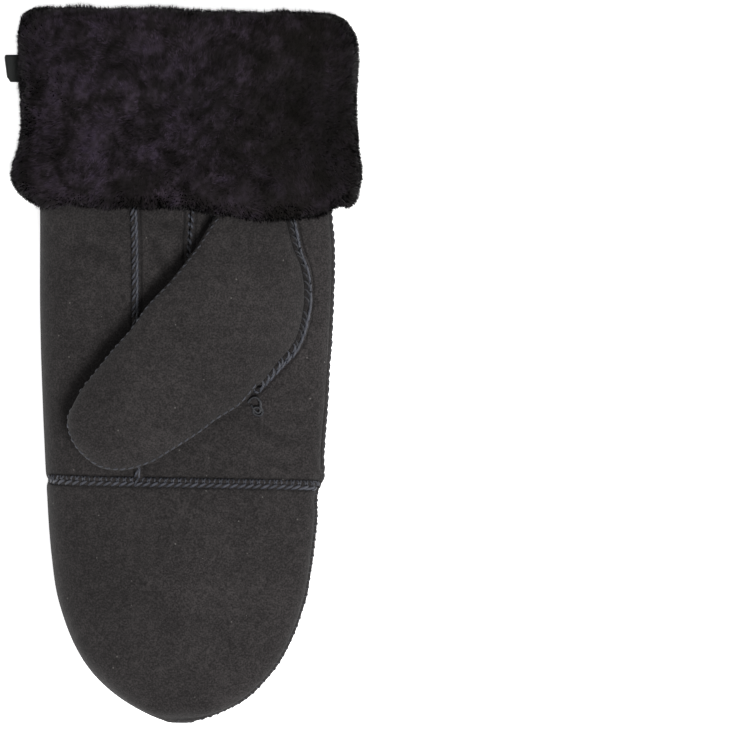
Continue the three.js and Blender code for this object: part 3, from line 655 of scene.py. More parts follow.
def stations(points, ways, spacing, first, last):
    """Parameters of places along each row of points: even ones, and finer ones beside a sewn end."""
    steps = np.linalg.norm(np.diff(points, axis=1), axis=2)
    reached = np.concatenate([np.zeros((len(points), 1)), np.cumsum(steps, axis=1)], axis=1)
    count = max(6, round(reached[:, -1].max() / spacing))
    found = []
    for reach in reached:
        whole = reach[-1]
        edge = EDGE_STEPS * min(1, whole / EDGE_ROOM)
        start = edge if first else edge[:1]
        end = whole - edge[::-1] if last else np.array([whole])
        middle = np.linspace(start[-1], end[0], count + 1)[1:-1]
        found.append(np.interp(np.concatenate([start, middle, end]), reach, ways))
    return np.array(found)


def panel_grid(skin, spacing, row_spacing, sewn, pace):
    """The outer and the inner side of a panel as grids of points."""
    ways = (1 - np.cos(np.linspace(0, math.pi, 241))) / 2
    line = skin(np.full_like(ways, pace), ways, 0)
    v = stations(line[None], ways, row_spacing, "start" in sewn, "end" in sewn)[0]
    rows = skin(*np.broadcast_arrays(ways[None, :], v[:, None]), 0)
    u = stations(rows, ways, spacing, "left" in sewn, "right" in sewn)
    v = np.repeat(v[:, None], u.shape[1], axis=1)
    return skin(u, v, 0), skin(u, v, SKIN_WALL)


def grid_normals(grid, towards):
    """Unit normals of a grid of points, on the side that towards points to."""
    across, down = np.gradient(grid, axis=1), np.gradient(grid, axis=0)
    normals = unit(np.cross(across, down))
    flip = np.sign(np.sum(normals * towards, axis=-1, keepdims=True))
    normals = normals * np.where(flip == 0, 1, flip)
    flat = np.linalg.norm(np.cross(unit(across), unit(down)), axis=-1, keepdims=True) < 0.2
    return np.where(flat, unit(towards), normals)


def strips_of(grid, side):
    """The lines of a grid beside one of its sides, from the side inwards, as many as EDGE_STEPS."""
    count = len(EDGE_STEPS)
    if side == "left":
        return grid[:, :count]
    if side == "right":
        return grid[:, : -count - 1 : -1]
    return np.swapaxes(grid[:count] if side == "start" else grid[: -count - 1 : -1], 0, 1)


def edges_of(name, outer, normals, sewn):
    """The sewn edges of a panel as lines of points, with the outward normal there."""
    found = []
    for side in sewn:
        points = strips_of(outer, side)[:, 0]
        arc = np.concatenate([[0], np.cumsum(np.linalg.norm(np.diff(points, axis=0), axis=1))])
        normal = strips_of(normals, side)[:, CLEAR_COLUMN]
        found.append({"panel": name, "side": side, "points": points, "arc": arc, "normal": normal})
    return found


def tree_of(points):
    tree = KDTree(len(points))
    for i, point in enumerate(points):
        tree.insert(point, i)
    tree.balance()
    return tree


def nearest_mates(edge, trees):
    """For each point of an edge its nearest point on another panel's edge: distance, panel and index."""
    best = [(math.inf, None, None)] * len(edge["points"])
    for name in ORDER:
        if name == edge["panel"]:
            continue
        for i, point in enumerate(edge["points"]):
            _, index, distance = trees[name][0].find(point)
            if distance < best[i][0]:
                best[i] = (distance, name, index)
    return best


def mate_edges(edges):
    """Gives each point of each edge its nearest point on another panel's edge, one place along the seam
    that both share, and how the seam there lies."""
    trees = {}
    for name in ORDER:
        own = [edge for edge in edges if edge["panel"] == name]
        found = {key: np.concatenate([edge[key] for edge in own]) for key in ("points", "arc", "normal")}
        trees[name] = (tree_of(found["points"]), found)
    for edge in edges:
        best = nearest_mates(edge, trees)
        names = [name for _, name, _ in best]
        edge["mates"] = [(name, index) for _, name, index in best]
        edge["mate_rank"] = np.array([ORDER.index(name) for name in names])
        edge["mate_distance"] = np.array([distance for distance, _, _ in best])
        mate_arc, mate_normal = (
            np.array([trees[name][1][key][index] for name, index in edge["mates"]])
            for key in ("arc", "normal")
        )
        edge["seam"] = np.where(edge["mate_rank"] < ORDER.index(edge["panel"]), mate_arc, edge["arc"])
        thumb = np.array([{edge["panel"], name} == {"thumb_face", "thumb_under"} for name in names])
        rim = np.array([edge["panel"].startswith("back") != name.startswith("back") for name in names])
        across = smoothstep(edge["points"][:, 0], -30, 30)
        outward = unit((edge["normal"] + mate_normal) * np.array([1, 1, 0]))
        little, side, at_thumb = (SEAM_DRIFT[key] for key in ("little", "side", "thumb"))
        inside, up = (np.where(thumb, at_thumb[k], lerp(little[k], side[k], across)) for k in (0, 1))
        edge["drift"] = (up[:, None] * UP - inside[:, None] * outward) * (thumb | rim)[:, None]
        edge["thumb"], edge["rim"] = thumb.astype(float), rim.astype(float)
        edge["shown"] = np.where(rim, across, 1)
        edge["swell"] = RIM_SWELL * smoothstep(edge["points"][:, 1], *RIM_SWELL_FROM)


def edge_distance(grid, edge, keys):
    """The distance from each point of a grid to an edge, and the edge's values at the nearest place."""
    flat = grid.reshape(-1, 3)
    tree = tree_of(edge["points"])
    nearest = np.array([tree.find(point)[1] for point in flat])
    last = len(edge["points"]) - 1
    best, index, part = np.full(len(flat), np.inf), np.zeros(len(flat), int), np.zeros(len(flat))
    for start in (np.clip(nearest - 1, 0, last - 1), np.clip(nearest, 0, last - 1)):
        a, b = edge["points"][start], edge["points"][start + 1]
        way = b - a
        t = np.clip(dot(flat - a, way)[:, 0] / np.maximum(dot(way, way)[:, 0], 1e-9), 0, 1)
        distance = np.linalg.norm(flat - a - way * t[:, None], axis=1)
        closer = distance < best
        changes = ((distance, best), (start, index), (t, part))
        best, index, part = (np.where(closer, new, old) for new, old in changes)
    found = [best.reshape(grid.shape[:2])]
    for key in keys:
        values = edge[key].reshape(last + 1, -1)
        value = lerp(values[index], values[index + 1], part[:, None])
        found.append(value.reshape(*grid.shape[:2], *edge[key].shape[1:]))
    return found


def seam_relief(distance, place, thumb, rim, shown, swell, seed):
    """How far the suede stands out beside a seam: over a flat seam a ridge that the threads pinch with a
    groove at its foot, over the hand's rim a rounded lip, and small puckers that fade into the panel."""
    line = np.stack([place, np.full_like(place, 9.0 * seed), np.zeros_like(place)], axis=-1)
    pinch = np.cos(2 * math.pi * place / STITCH_PITCH)
    ridge = SEAM_HEIGHT * 0.58 * (1 - smoothstep(distance, 0.9, 1.8))
    flat = ridge * (1 - 0.1 * pinch + 0.12 * noise(line, 9))
    flat += -0.5 * bell(distance, *FLAT_GROOVE) - 0.25 * bell(distance, 0, 0.3)
    lip = 0.3 * bell(distance, 1.5, 1.0) * (1 - 0.4 * pinch)
    lip += -0.5 * bell(distance, *RIM_GROOVE)
    wave = 0.22 * noise(line, 8, 3) * bell(distance, 0, 4)
    edge = -0.12 * bell(distance, *THUMB_GROOVE)
    pucker = 0.28 * noise(line, 4.5, 1) * np.exp(-distance / 4.5) * smoothstep(distance, 1.6, 3.4)
    at_rim = swell * bell(distance, 0, 5.5) + (lip + wave) * shown
    return np.where(rim > 0.5, at_rim, np.where(thumb > 0.5, edge, flat)) + pucker


def crease_relief(x, y):
    """Soft creases in the palm, each a bent valley between two banks."""
    relief = np.zeros_like(x)
    for (x0, y0), (x1, y1), wide, deep in PALM_CREASES:
        way = np.array([x1 - x0, y1 - y0])
        t = ((x - x0) * way[0] + (y - y0) * way[1]) / (way @ way)
        bend = 1.6 * np.sin(3 * t + x0)
        off = ((x - x0) * -way[1] + (y - y0) * way[0]) / np.linalg.norm(way) + bend
        ends = smoothstep(t, -0.15, 0.3) * (1 - smoothstep(t, 0.7, 1.15))
        banks = 0.55 * (bell(off, 1.9 * wide, wide) + bell(off, -1.9 * wide, wide))
        relief += deep * ends * (banks - bell(off, 0, wide))
    return relief


def new_mesh(name, vertices, faces, face_slots=None):
    """A mesh object from arrays, in metres in the frame. faces has three or four corners a row."""
    mesh = bpy.data.meshes.new(name)
    count, corners = faces.shape
    mesh.vertices.add(len(vertices))
    mesh.vertices.foreach_set("co", ((vertices + OFFSET) / 1000).astype(np.float32).ravel())
    mesh.loops.add(count * corners)
    mesh.loops.foreach_set("vertex_index", faces.astype(np.int32).ravel())
    mesh.polygons.add(count)
    mesh.polygons.foreach_set("loop_start", np.arange(0, count * corners, corners, dtype=np.int32))
    if face_slots is not None:
        mesh.polygons.foreach_set("material_index", face_slots.astype(np.int32))
    mesh.polygons.foreach_set("use_smooth", np.ones(count, bool))
    mesh.update(calc_edges=True)
    mesh.validate()
    piece = bpy.data.objects.new(name, mesh)
    bpy.context.scene.collection.objects.link(piece)
    return piece


def add_tone(piece, colours):
    """Stores one colour for each vertex, which the piece's material multiplies in."""
    tone = piece.data.color_attributes.new("tone", "FLOAT_COLOR", "POINT")
    rgba = np.ones((len(colours), 4), np.float32)
    rgba[:, :3] = colours
    tone.data.foreach_set("color", rgba.ravel())


def grid_faces(rows, columns, start=0, wrap=False):
    i = np.arange(rows - 1)[:, None]
    j = np.arange(columns if wrap else columns - 1)[None, :]
    j, beside = np.broadcast_arrays(j, (j + 1) % columns)
    a, b = start + i * columns + j, start + i * columns + beside
    return np.stack([a, b, b + columns, a + columns], axis=-1).reshape(-1, 4)


def facing_out(vertices, faces):
    """Turns all the faces over if the volume they enclose is negative."""
    a, b, c, d = (vertices[faces[:, k]] for k in range(4))
    volume = np.sum(a * np.cross(b, c)) + np.sum(a * np.cross(c, d))
    return faces if volume > 0 else faces[:, ::-1]


def wall_mesh(name, outer, inner):
    """Closes an outer and an inner grid into a wall, suede outside and wool inside."""
    rows, columns = outer.shape[:2]
    vertices = np.concatenate([outer.reshape(-1, 3), inner.reshape(-1, 3)])
    size = rows * columns
    skin = grid_faces(rows, columns)
    lining = grid_faces(rows, columns, size)[:, ::-1]
    loop = np.concatenate(
        [
            np.arange(columns),
            np.arange(1, rows) * columns + columns - 1,
            (rows - 1) * columns + np.arange(columns - 2, -1, -1),
            np.arange(rows - 2, 0, -1) * columns,
        ]
    )
    after = np.roll(loop, -1)
    rim = np.stack([after, loop, loop + size, after + size], axis=-1)
    faces = np.concatenate([skin, lining, rim])
    slots = np.concatenate([np.zeros(len(skin)), np.ones(len(lining)), np.zeros(len(rim))])
    return new_mesh(name, vertices, facing_out(vertices, faces), slots)


def tubes(paths, radii, sides, guide):
    """Tubes round many paths of the same count of points. guide is a vector across each path."""
    count, steps = paths.shape[:2]
    way = unit(np.gradient(paths, axis=1))
    first = unit(guide - way * dot(guide, way))
    second = np.cross(way, first)
    angles = np.arange(sides) * 2 * math.pi / sides
    ring = first[:, :, None] * np.cos(angles)[:, None] + second[:, :, None] * np.sin(angles)[:, None]
    vertices = paths[:, :, None] + ring * np.asarray(radii)[..., None, None]
    faces = grid_faces(steps, sides, wrap=True)
    faces = (faces[None] + (np.arange(count) * steps * sides)[:, None, None]).reshape(-1, 4)
    return vertices.reshape(-1, 3), faces


def thread_paths(kind, strip, way, along, loose):
    """The paths of threads of one kind on the strips of suede beside the places of a seam."""
    points = []
    for along_by, inside, above in THREADS[kind]:
        k = min(np.searchsorted(EDGE_STEPS, inside, side="right") - 1, len(EDGE_STEPS) - 2)
        t = (inside - EDGE_STEPS[k]) / (EDGE_STEPS[k + 1] - EDGE_STEPS[k])
        over = lerp(way[:, k], way[:, k + 1], t) * (above + loose)
        points.append(lerp(strip[:, k], strip[:, k + 1], t) + over + along * along_by)
    return np.stack(points, axis=1)


def stitch_places(edge, far):
    """Where one row of threads stands on an edge: for each the point after it, and its share of the step
    to that point. far is for the row on the other panel, half a stitch on."""
    owned = (edge["mate_rank"] > ORDER.index(edge["panel"])) & (edge["mate_distance"] < SEWN_WITHIN)
    arc = edge["arc"]
    places = (np.arange(0, math.floor(arc[-1] / STITCH_PITCH)) + 0.5 * far) * STITCH_PITCH
    places = places[(places > STITCH_MARGIN) & (places < arc[-1] - STITCH_MARGIN)]
    places = places + rng.uniform(-STITCH_WANDER, STITCH_WANDER, len(places))
    index = np.clip(np.searchsorted(arc, places), 1, len(arc) - 1)
    share = (places - arc[index - 1]) / (arc[index] - arc[index - 1])
    keep = owned[index] & owned[index - 1] & (edge["points"][index][:, 1] < STITCHES_END)
    return index[keep], share[keep]


def stitch_beds(edge, far, index, share, along, strips):
    """The strips of suede that one row of threads lies on, and their normals."""
    if not far:
        t = share[:, None, None]
        return [lerp(edge[key][index - 1], edge[key][index], t) for key in ("strip", "way")]
    mates = [edge["mates"][i] for i in index]
    size = (-1, len(EDGE_STEPS), 3)
    strip, way = (np.array([strips[name][k][i] for name, i in mates]).reshape(size) for k in (0, 1))
    slide = dot(edge["points"][index] - strip[:, 0], along)
    return strip + (slide * along)[:, None], way


def stitch_kinds(edge, far, index):
    """Which of one row's threads are of which kind."""
    thumb, rim = edge["thumb"][index] > 0.5, edge["rim"][index] > 0.5
    shown = edge["shown"][index] > 0.4
    low = np.array([far and edge["mates"][i][0] == "thumb_face" for i in index], bool)
    low &= edge["points"][index][:, 1] > LOW_ROW_FROM
    flat_kind = "rope_near"
    if far:
        flat_kind = "loop" if edge["panel"] == "palm_tip" else "rope_far"
    return {
        flat_kind: ~thumb & ~rim & ~low,
        "low": ~thumb & ~rim & low,
        "dash": thumb | (rim & ~shown & far),
        "over": rim & shown & (not far),
    }


def stitches(edges):
    """The threads of every seam, made on the edge that leads it: a rope of two rows over a flat seam,
    loops on the near side of the seam across the palm, dashes round the thumb and wraps over the rim."""
    strips = {}
    for name in ORDER:
        own = [edge for edge in edges if edge["panel"] == name]
        strips[name] = [np.concatenate([edge[key] for edge in own]) for key in ("strip", "way")]
    paths, guides, widths, shades = [], [], [], []
    for edge, far in itertools.product(edges, (False, True)):
        index, share = stitch_places(edge, far)
        along = unit(edge["points"][index] - edge["points"][index - 1])
        strip, way = stitch_beds(edge, far, index, share, along, strips)
        loose = rng.uniform(-STITCH_LIFT, STITCH_LIFT, (len(index), 1))
        for kind, chosen in stitch_kinds(edge, far, index).items():
            made = (values[chosen] for values in (strip, way, along, loose))
            paths.append(thread_paths(kind, *made))
            guides.append(np.repeat(along[chosen][:, None], len(THREAD_TAPER), axis=1))
            widths.append(np.full(chosen.sum(), THREAD_LOOKS[kind]["wide"]))
            shades.append(np.full(chosen.sum(), THREAD_LOOKS[kind]["shade"]))
    paths, guides, widths, shades = (np.concatenate(parts) for parts in (paths, guides, widths, shades))
    radii = widths[:, None] * (THREAD_RADIUS * THREAD_TAPER)[None]
    vertices, faces = tubes(paths, radii, THREAD_SIDES, guides)
    vertices[:, 2] = np.maximum(vertices[:, 2], FLOOR_CLEAR)
    middle = paths[:, len(THREAD_TAPER) // 2]
    # Random shades, with painted shadow of the thumb on the threads beside its upper edge.
    shades = shades * rng.uniform(0.75, 1.2, len(shades)) * (1 - 0.45 * painted_thumb_shadow(middle))
    return vertices, faces, np.repeat(shades, THREAD_SIDES * len(THREAD_TAPER))


def knot_path():
    """The loose end of the thread beside the crotch: a tail, a small loop and its way back."""
    rows = [
        (25.6, 125.2, 0.4), (27.0, 126.9, 1.4), (29.0, 127.2, 2.2), (30.4, 125.6, 2.6), (30.6, 123.4, 2.4),
        (31.4, 121.6, 1.5), (30.6, 120.3, 1.0), (28.8, 120.4, 0.9), (27.7, 121.5, 1.2), (28.2, 123.2, 1.8),
        (29.9, 123.3, 2.2), (30.5, 122.0, 2.0), (29.3, 121.2, 1.7), (27.9, 122.6, 1.6), (26.9, 124.2, 0.9),
    ]
    x, y, above = np.array(rows).T
    surface = hand_point(turn_of(x, y), y, 1)
    surface[:, 2] += above
    at = table_of(np.column_stack([np.arange(len(rows)), surface]))
    return np.stack(at(np.linspace(0, len(rows) - 1, 60)), axis=-1)


def over_thumb(turn, y, face):
    """How much further out the cuff's palm side stands over the thumb's root."""
    away = (turn - CUFF_BULGE["turn"]) / CUFF_BULGE["wide"]
    near = 1 - smoothstep(y, HEM_ALONG, HEM_ALONG + CUFF_DEPTH * CUFF_BULGE["fades"])
    return CUFF_OVER_THUMB * np.exp(-(away**4)) * near if face > 0 else 0


def cuff_point(turn, y, face, out, sink=0):
    """A point of the cuff, out of its turned-back skin or sunk that far inside the hand's skin."""
    _, _, full, seat = section_at(y)
    over = 0 if sink > 0 else over_thumb(turn, y, face)
    floor = seat + LITTLE_EDGE * HAND_THICKNESS * (1 - full) + 4 * FIT
    side = CUFF_STAND_OFF + CUFF_PILE_SIDE * out - sink
    up = CUFF_STAND_OFF + over + CUFF_PILE_TOP * out - sink
    down = lerp(CUFF_STAND_OFF, floor, np.minimum(1, out / 0.8)) - sink
    point = section_point(turn, y, face, side, up, down)
    point[..., 2] = np.maximum(0, point[..., 2])
    return point


def cuff_ring(columns):
    """Turns and faces round the cuff, even along its outside."""
    ways = np.linspace(-1, 1, 721)
    found = []
    for face in (1, -1):
        line = cuff_point(ways * face, np.full_like(ways, (HEM_ALONG + TOTAL_LENGTH) / 2), face, 1)
        reach = np.concatenate([[0], np.cumsum(np.linalg.norm(np.diff(line, axis=0), axis=1))])
        even = np.linspace(0, reach[-1], columns // 2 + 1)[:-1]
        found.append((np.interp(even, reach, ways) * face, face))
    return found


def smooth_rows(rows, count):
    """Resamples rows of points to even ones on a curve through them."""
    lengths = np.linalg.norm(np.diff(rows, axis=0), axis=2).mean(axis=1)
    keys = np.concatenate([[0], np.cumsum(lengths)])
    at = table_of(np.column_stack([keys, rows.reshape(len(rows), -1)]))
    even = np.linspace(0, keys[-1], count)
    return np.stack(at(even), axis=-1).reshape(count, *rows.shape[1:]), even / keys[-1]


def corner_cut(turn, y):
    """How much of the wool's thickness is there, where the little finger's corner of the hem is cut off."""
    return lerp(1, np.clip(0.3 + (y - HEM_ALONG) / 15, 0.3, 1), smoothstep(-turn, 0.55, 0.95))


def settled(points):
    """The cuff as it lies: its sides flare towards the hem, and its mouth drops to the thumb's side."""
    x, y = points[..., 0], points[..., 1]
    right, left = smoothstep(x, 25, 66), smoothstep(-x, 30, 64)
    moved = points.copy()
    near_roll = smoothstep(y, TOTAL_LENGTH - 16, TOTAL_LENGTH - 1)
    moved[..., 0] += right * (3.6 - 1.1 * bell(y, HEM_ALONG + 7, 7) - 2.4 * near_roll)
    moved[..., 0] -= left * (2.2 * bell(y, HEM_ALONG + 13, 11) + 1.0 * bell(y, TOTAL_LENGTH - 16, 12))
    drop = 1.7 * smoothstep(x, -45, 40) + 1.4 * smoothstep(x, 50, 66)
    moved[..., 1] -= drop * smoothstep(y, TOTAL_LENGTH - 45, TOTAL_LENGTH)
    return moved


def cuff_side(turn, face):
    """The palm's or the back's side of the cuff in rows: the wool's tips and its roots, from the hem over
    the roll into the mouth, and the lining that leads from there back to the hem."""
    sunk = CUFF_STAND_OFF + SKIN_WALL + 3 * FIT
    inside = sunk + MOUTH_PILE
    lip = TOTAL_LENGTH - MOUTH_LIP
    inner_end = PANEL_END - MOUTH_PILE_DEPTH
    hem = HEM_ALONG - (wool_hem_at(turn)[0] if face > 0 else lerp(*WOOL_HEM_ENDS, (turn + 1) / 2))
    tips, roots = [], []
    for along, out in CUFF_ROWS:
        y = lerp(hem, TOTAL_LENGTH, along)
        full = out * corner_cut(turn, y)
        tips.append(cuff_point(turn, y, face, full))
        root_out = full * lerp(0.35, 0.72, min(1, along / 0.1))
        roots.append(cuff_point(turn, lerp(hem, TOTAL_LENGTH, max(along, 0.03)), face, root_out))
    top, mouth = tips[-1], cuff_point(turn, lip, face, 0, inside)
    core = lerp(top, mouth, 0.5)
    core[..., 1] = lip
    for across, back in ROLL_ROWS:
        point = lerp(top, mouth, across)
        point[..., 1] = TOTAL_LENGTH - back
        tips.append(point)
        roots.append(lerp(core, point, 0.55))
    for share in (0, 0.33, 0.67, 1):
        y = np.full_like(turn, lerp(lip, inner_end, share))
        tips.append(cuff_point(turn, y, face, 0, inside))
        roots.append(cuff_point(turn, y, face, 0, sunk + 1.6))
    lining = [
        cuff_point(turn, np.full_like(turn, lerp(inner_end, PANEL_END + FIT, share)), face, 0, sunk)
        for share in (0.02, 0.5, 1)
    ]
    lining += [
        cuff_point(turn, lerp(PANEL_END + FIT, hem + 1.5, share), face, 0)
        for share in (0, 0.2, 0.4, 0.6, 0.8, 1)
    ]
    return np.stack(tips), np.stack(roots), np.stack(lining)


def cuff_grids(columns, row_count):
    """Both sides of the cuff joined into rings, with how far along its way each row of the tips is."""
    sides = [cuff_side(turn, face) for turn, face in cuff_ring(columns)]
    tips, roots, lining = (settled(np.concatenate(parts, axis=1)) for parts in zip(*sides))
    tips, way = smooth_rows(tips, row_count)
    roots, _ = smooth_rows(roots, row_count)
    return tips, roots, lining, way


def ring_normals(grid):
    """Unit normals of a grid that closes on itself from its last column to its first."""
    around = np.roll(grid, -1, axis=1) - np.roll(grid, 1, axis=1)
    down = np.gradient(grid, axis=0)
    return unit(np.cross(around, down))


def sample_ring(grid, row, column):
    """Values of a closed grid at places between its rows and columns."""
    rows, columns = grid.shape[:2]
    i = np.clip(np.floor(row).astype(int), 0, rows - 2)
    j = np.floor(column).astype(int)
    p, q = (row - i)[:, None], (column - j)[:, None]
    j, beside = j % columns, (j + 1) % columns
    return lerp(lerp(grid[i, j], grid[i, beside], q), lerp(grid[i + 1, j], grid[i + 1, beside], q), p)


def scatter(grid, count, density):
    """Random places on a closed grid, even by area times density, which has a value for each cell."""
    across = np.roll(grid, -1, axis=1) - grid
    down = grid[1:] - grid[:-1]
    area = np.linalg.norm(np.cross(across[:-1], down), axis=-1) * density
    chances = np.cumsum(area.ravel())
    cell = np.searchsorted(chances, rng.uniform(0, chances[-1], count))
    row, column = np.unravel_index(np.minimum(cell, area.size - 1), area.shape)
    return row + rng.uniform(0, 1, count), column + rng.uniform(0, 1, count)


def blades(root, middle, tip, flat, width):
    """Tapered blades of three triangles each, with their wide sides across flat."""
    across = unit(np.cross(tip - root, flat)) * width
    points = np.stack(
        [root - across * 0.5, root + across * 0.5, middle - across * 0.42, middle + across * 0.42, tip],
        axis=1,
    )
    start = np.arange(len(root))[:, None] * 5
    corners = ([0, 1, 3], [0, 3, 2], [2, 3, 4])
    faces = np.concatenate([start + corner for corner in corners], axis=1).reshape(-1, 3)
    return points.reshape(-1, 3), faces


def shader(name):
    """A material with its tree, its shader and the coordinates of the object that wears it."""
    material = bpy.data.materials.new(name)
    material.use_nodes = True
    tree = material.node_tree
    surface = tree.nodes["Principled BSDF"]
    for key, value in FINISHES[name].items():
        surface.inputs[key].default_value = value
    return material, tree, surface, node(tree, "ShaderNodeTexCoord").outputs["Object"]


def node(tree, kind, **values):
    """A new node, with values for its inputs or else for its settings."""
    made = tree.nodes.new(kind)
    for key, value in values.items():
        if key in made.inputs:
            made.inputs[key].default_value = value
        else:
            setattr(made, key, value)
    return made


def texture(tree, place, kind, **values):
    made = node(tree, f"ShaderNodeTex{kind}", **values)
    tree.links.new(place, made.inputs["Vector"])
    return made.outputs


def noise_node(tree, place, scale, detail, roughness=0.6):
    return texture(tree, place, "Noise", Scale=scale, Detail=detail, Roughness=roughness)["Fac"]


def mixed(tree, factor, first, second, blend="MIX"):
    """Two colours mixed. Each of the three is a socket or a value."""
    made = node(tree, "ShaderNodeMix", data_type="RGBA", blend_type=blend)
    for index, value in ((0, factor), (6, first), (7, second)):
        if isinstance(value, bpy.types.NodeSocket):
            tree.links.new(value, made.inputs[index])
        else:
            made.inputs[index].default_value = value
    return made.outputs[2]


def maths(tree, operation, first, second):
    made = node(tree, "ShaderNodeMath", operation=operation)
    for socket, value in zip(made.inputs, (first, second)):
        if isinstance(value, (int, float)):
            socket.default_value = value
        else:
            tree.links.new(value, socket)
    return made.outputs["Value"]


def ramp(tree, factor, stops):
    made = node(tree, "ShaderNodeValToRGB")
    elements = made.color_ramp.elements
    while len(elements) < len(stops):
        elements.new(0.5)
    for element, (position, colour) in zip(elements, stops):
        element.position = position
        element.color = (*colour, 1)
    tree.links.new(factor, made.inputs["Fac"])
    return made.outputs["Color"]


def linear(red, green, blue):
    """A colour from 0 to 255 as linear values."""
    shares = (red / 255, green / 255, blue / 255)
    return tuple(c / 12.92 if c <= 0.04045 else ((c + 0.055) / 1.055) ** 2.4 for c in shares)


def toned(tree, colour):
    """The colour times the vertex colours."""
    tone = node(tree, "ShaderNodeVertexColor", layer_name="tone")
    return mixed(tree, 1, colour, tone.outputs["Color"], "MULTIPLY")


def bumped(tree, height, strength, distance, normal=None):
    made = node(tree, "ShaderNodeBump", Strength=strength, Distance=distance)
    tree.links.new(height, made.inputs["Height"])
    if normal is not None:
        tree.links.new(normal, made.inputs["Normal"])
    return made.outputs["Normal"]


def suede_material():
    """Brushed suede: grain and mottling over wide patches, with a few pale specks."""
    material, tree, surface, place = shader("suede")
    grain = noise_node(tree, place, 1500, 2)
    mottle = noise_node(tree, place, 330, 5)
    patch = noise_node(tree, place, 42, 3)
    nap = maths(tree, "ADD", maths(tree, "MULTIPLY", grain, 2.2), maths(tree, "MULTIPLY", mottle, 0.75))
    nap = maths(tree, "ADD", nap, maths(tree, "MULTIPLY", patch, 0.45))
    nap = maths(tree, "SUBTRACT", nap, 1.2)
    stops = [(0.1, linear(20, 18, 18)), (0.5, linear(32, 30, 30)), (0.9, linear(46, 43, 43))]
    specks = texture(tree, place, "Voronoi", Scale=170.0)
    small = maths(tree, "LESS_THAN", specks["Distance"], 0.055)
    chance = node(tree, "ShaderNodeSeparateColor")
    tree.links.new(specks["Color"], chance.inputs["Color"])
    mask = maths(tree, "MULTIPLY", small, maths(tree, "GREATER_THAN", chance.outputs["Red"], 0.4))
    colour = mixed(tree, mask, ramp(tree, nap, stops), (*linear(74, 72, 70), 1))
    tree.links.new(toned(tree, colour), surface.inputs["Base Color"])
    normal = bumped(tree, mottle, 0.5, 0.0006)
    tree.links.new(bumped(tree, grain, 0.7, 0.0003, normal), surface.inputs["Normal"])
    return material


def wool_material():
    material, tree, surface, place = shader("wool")
    stops = [(0.3, linear(24, 20, 23)), (0.7, linear(29, 24, 28))]
    colour = ramp(tree, noise_node(tree, place, 70, 3), stops)
    tree.links.new(toned(tree, colour), surface.inputs["Base Color"])
    return material


def grained_material(name, grain, low, high, bump, tone=False):
    """A material whose colour and bump follow one texture, which grain makes. low and high are a place on
    the texture's scale and the colour there, and bump is a strength and a depth in metres."""
    material, tree, surface, place = shader(name)
    height = grain(tree, place)
    colour = ramp(tree, height, [low, high])
    tree.links.new(toned(tree, colour) if tone else colour, surface.inputs["Base Color"])
    tree.links.new(bumped(tree, height, *bump), surface.inputs["Normal"])
    return material


def lining_material():
    """The clipped wool on the inside of the skin."""

    def curls(tree, place):
        return noise_node(tree, place, 420, 5, 0.7)

    return grained_material(
        "lining", curls, (0.35, linear(18, 15, 17)), (0.7, linear(44, 38, 42)), (0.9, 0.0012)
    )


def thread_material():
    def twist(tree, place):
        return texture(tree, place, "Wave", Scale=900, Distortion=3.0, Detail=2.0)["Fac"]

    return grained_material(
        "thread", twist, (0.1, linear(40, 41, 48)), (0.9, linear(56, 58, 66)), (0.5, 0.0002), tone=True
    )


def ribbon_material():
    def weave(tree, place):
        return texture(
            tree, place, "Wave", Scale=1400, Distortion=0.6, Detail=1.0, bands_direction="Y"
        )["Fac"]

    return grained_material(
        "ribbon", weave, (0.2, linear(17, 18, 18)), (0.8, linear(31, 33, 32)), (0.35, 0.0001)
    )


def dress(piece, materials, nodes=()):
    """Gives a piece its materials, its body and slot, and the nodes that it stands for."""
    for material in materials:
        piece.data.materials.append(material)
    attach(piece, "root")
    if nodes:
        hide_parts(*nodes)


def suede_tone(outer, seams, creases, nearest, thumb, rim, shown):
    """Lighter where the nap is worn by rubbing, on ridges and high places, with painted shade in grooves,
    in the creases' valleys and in a band along the thumb's outer seam, and painted light towards the
    thumb's side.
    """
    # Random wide patches, with painted light towards the thumb's side.
    wide = noise(outer, 34, 3) + 1.3 * smoothstep(outer[..., 0], 5, 50)
    fine = noise(outer, 7, 4)
    # Lighter on the seams' ridges where the nap wears, with painted shade in the grooves beside them.
    rub_and_shade = np.clip(seams / SEAM_HEIGHT, -0.6, 1) * (1 - rim)
    # Painted shade in the groove at a flat seam's foot and at its crack, under the rim's lip, and in a band
    # along the thumb's outer seam.
    flat = 0.5 * bell(nearest, *FLAT_GROOVE) + 0.25 * bell(nearest, 0, 0.4)
    lip = shown * 0.7 * bell(nearest, *RIM_GROOVE)
    edge = 0.5 * (1 - smoothstep(nearest, 3.8, 4.9))
    painted_shade = np.where(rim > 0.5, lip, np.where(thumb > 0.5, edge, flat))
    # Painted shade in the creases' valleys, a little lighter on their banks.
    tone = 1 + 0.13 * wide + 0.07 * fine + 0.16 * rub_and_shade + 0.45 * np.minimum(creases, 0.2) - painted_shade
    return np.repeat(np.maximum(tone, 0.2)[..., None], 3, axis=-1)


def painted_thumb_shadow(points):
    """How close points of the palm are to the thumb's upper edge, which weighs the thumb's shadow painted
    beside it.
    """
    line = np.stack(thumb_seam(np.linspace(0.27, 0.6, 120))[:2], axis=-1)
    distance = np.linalg.norm(points[..., None, :2] - line, axis=-1).min(axis=-1)
    return bell(distance, 0, 3.4)


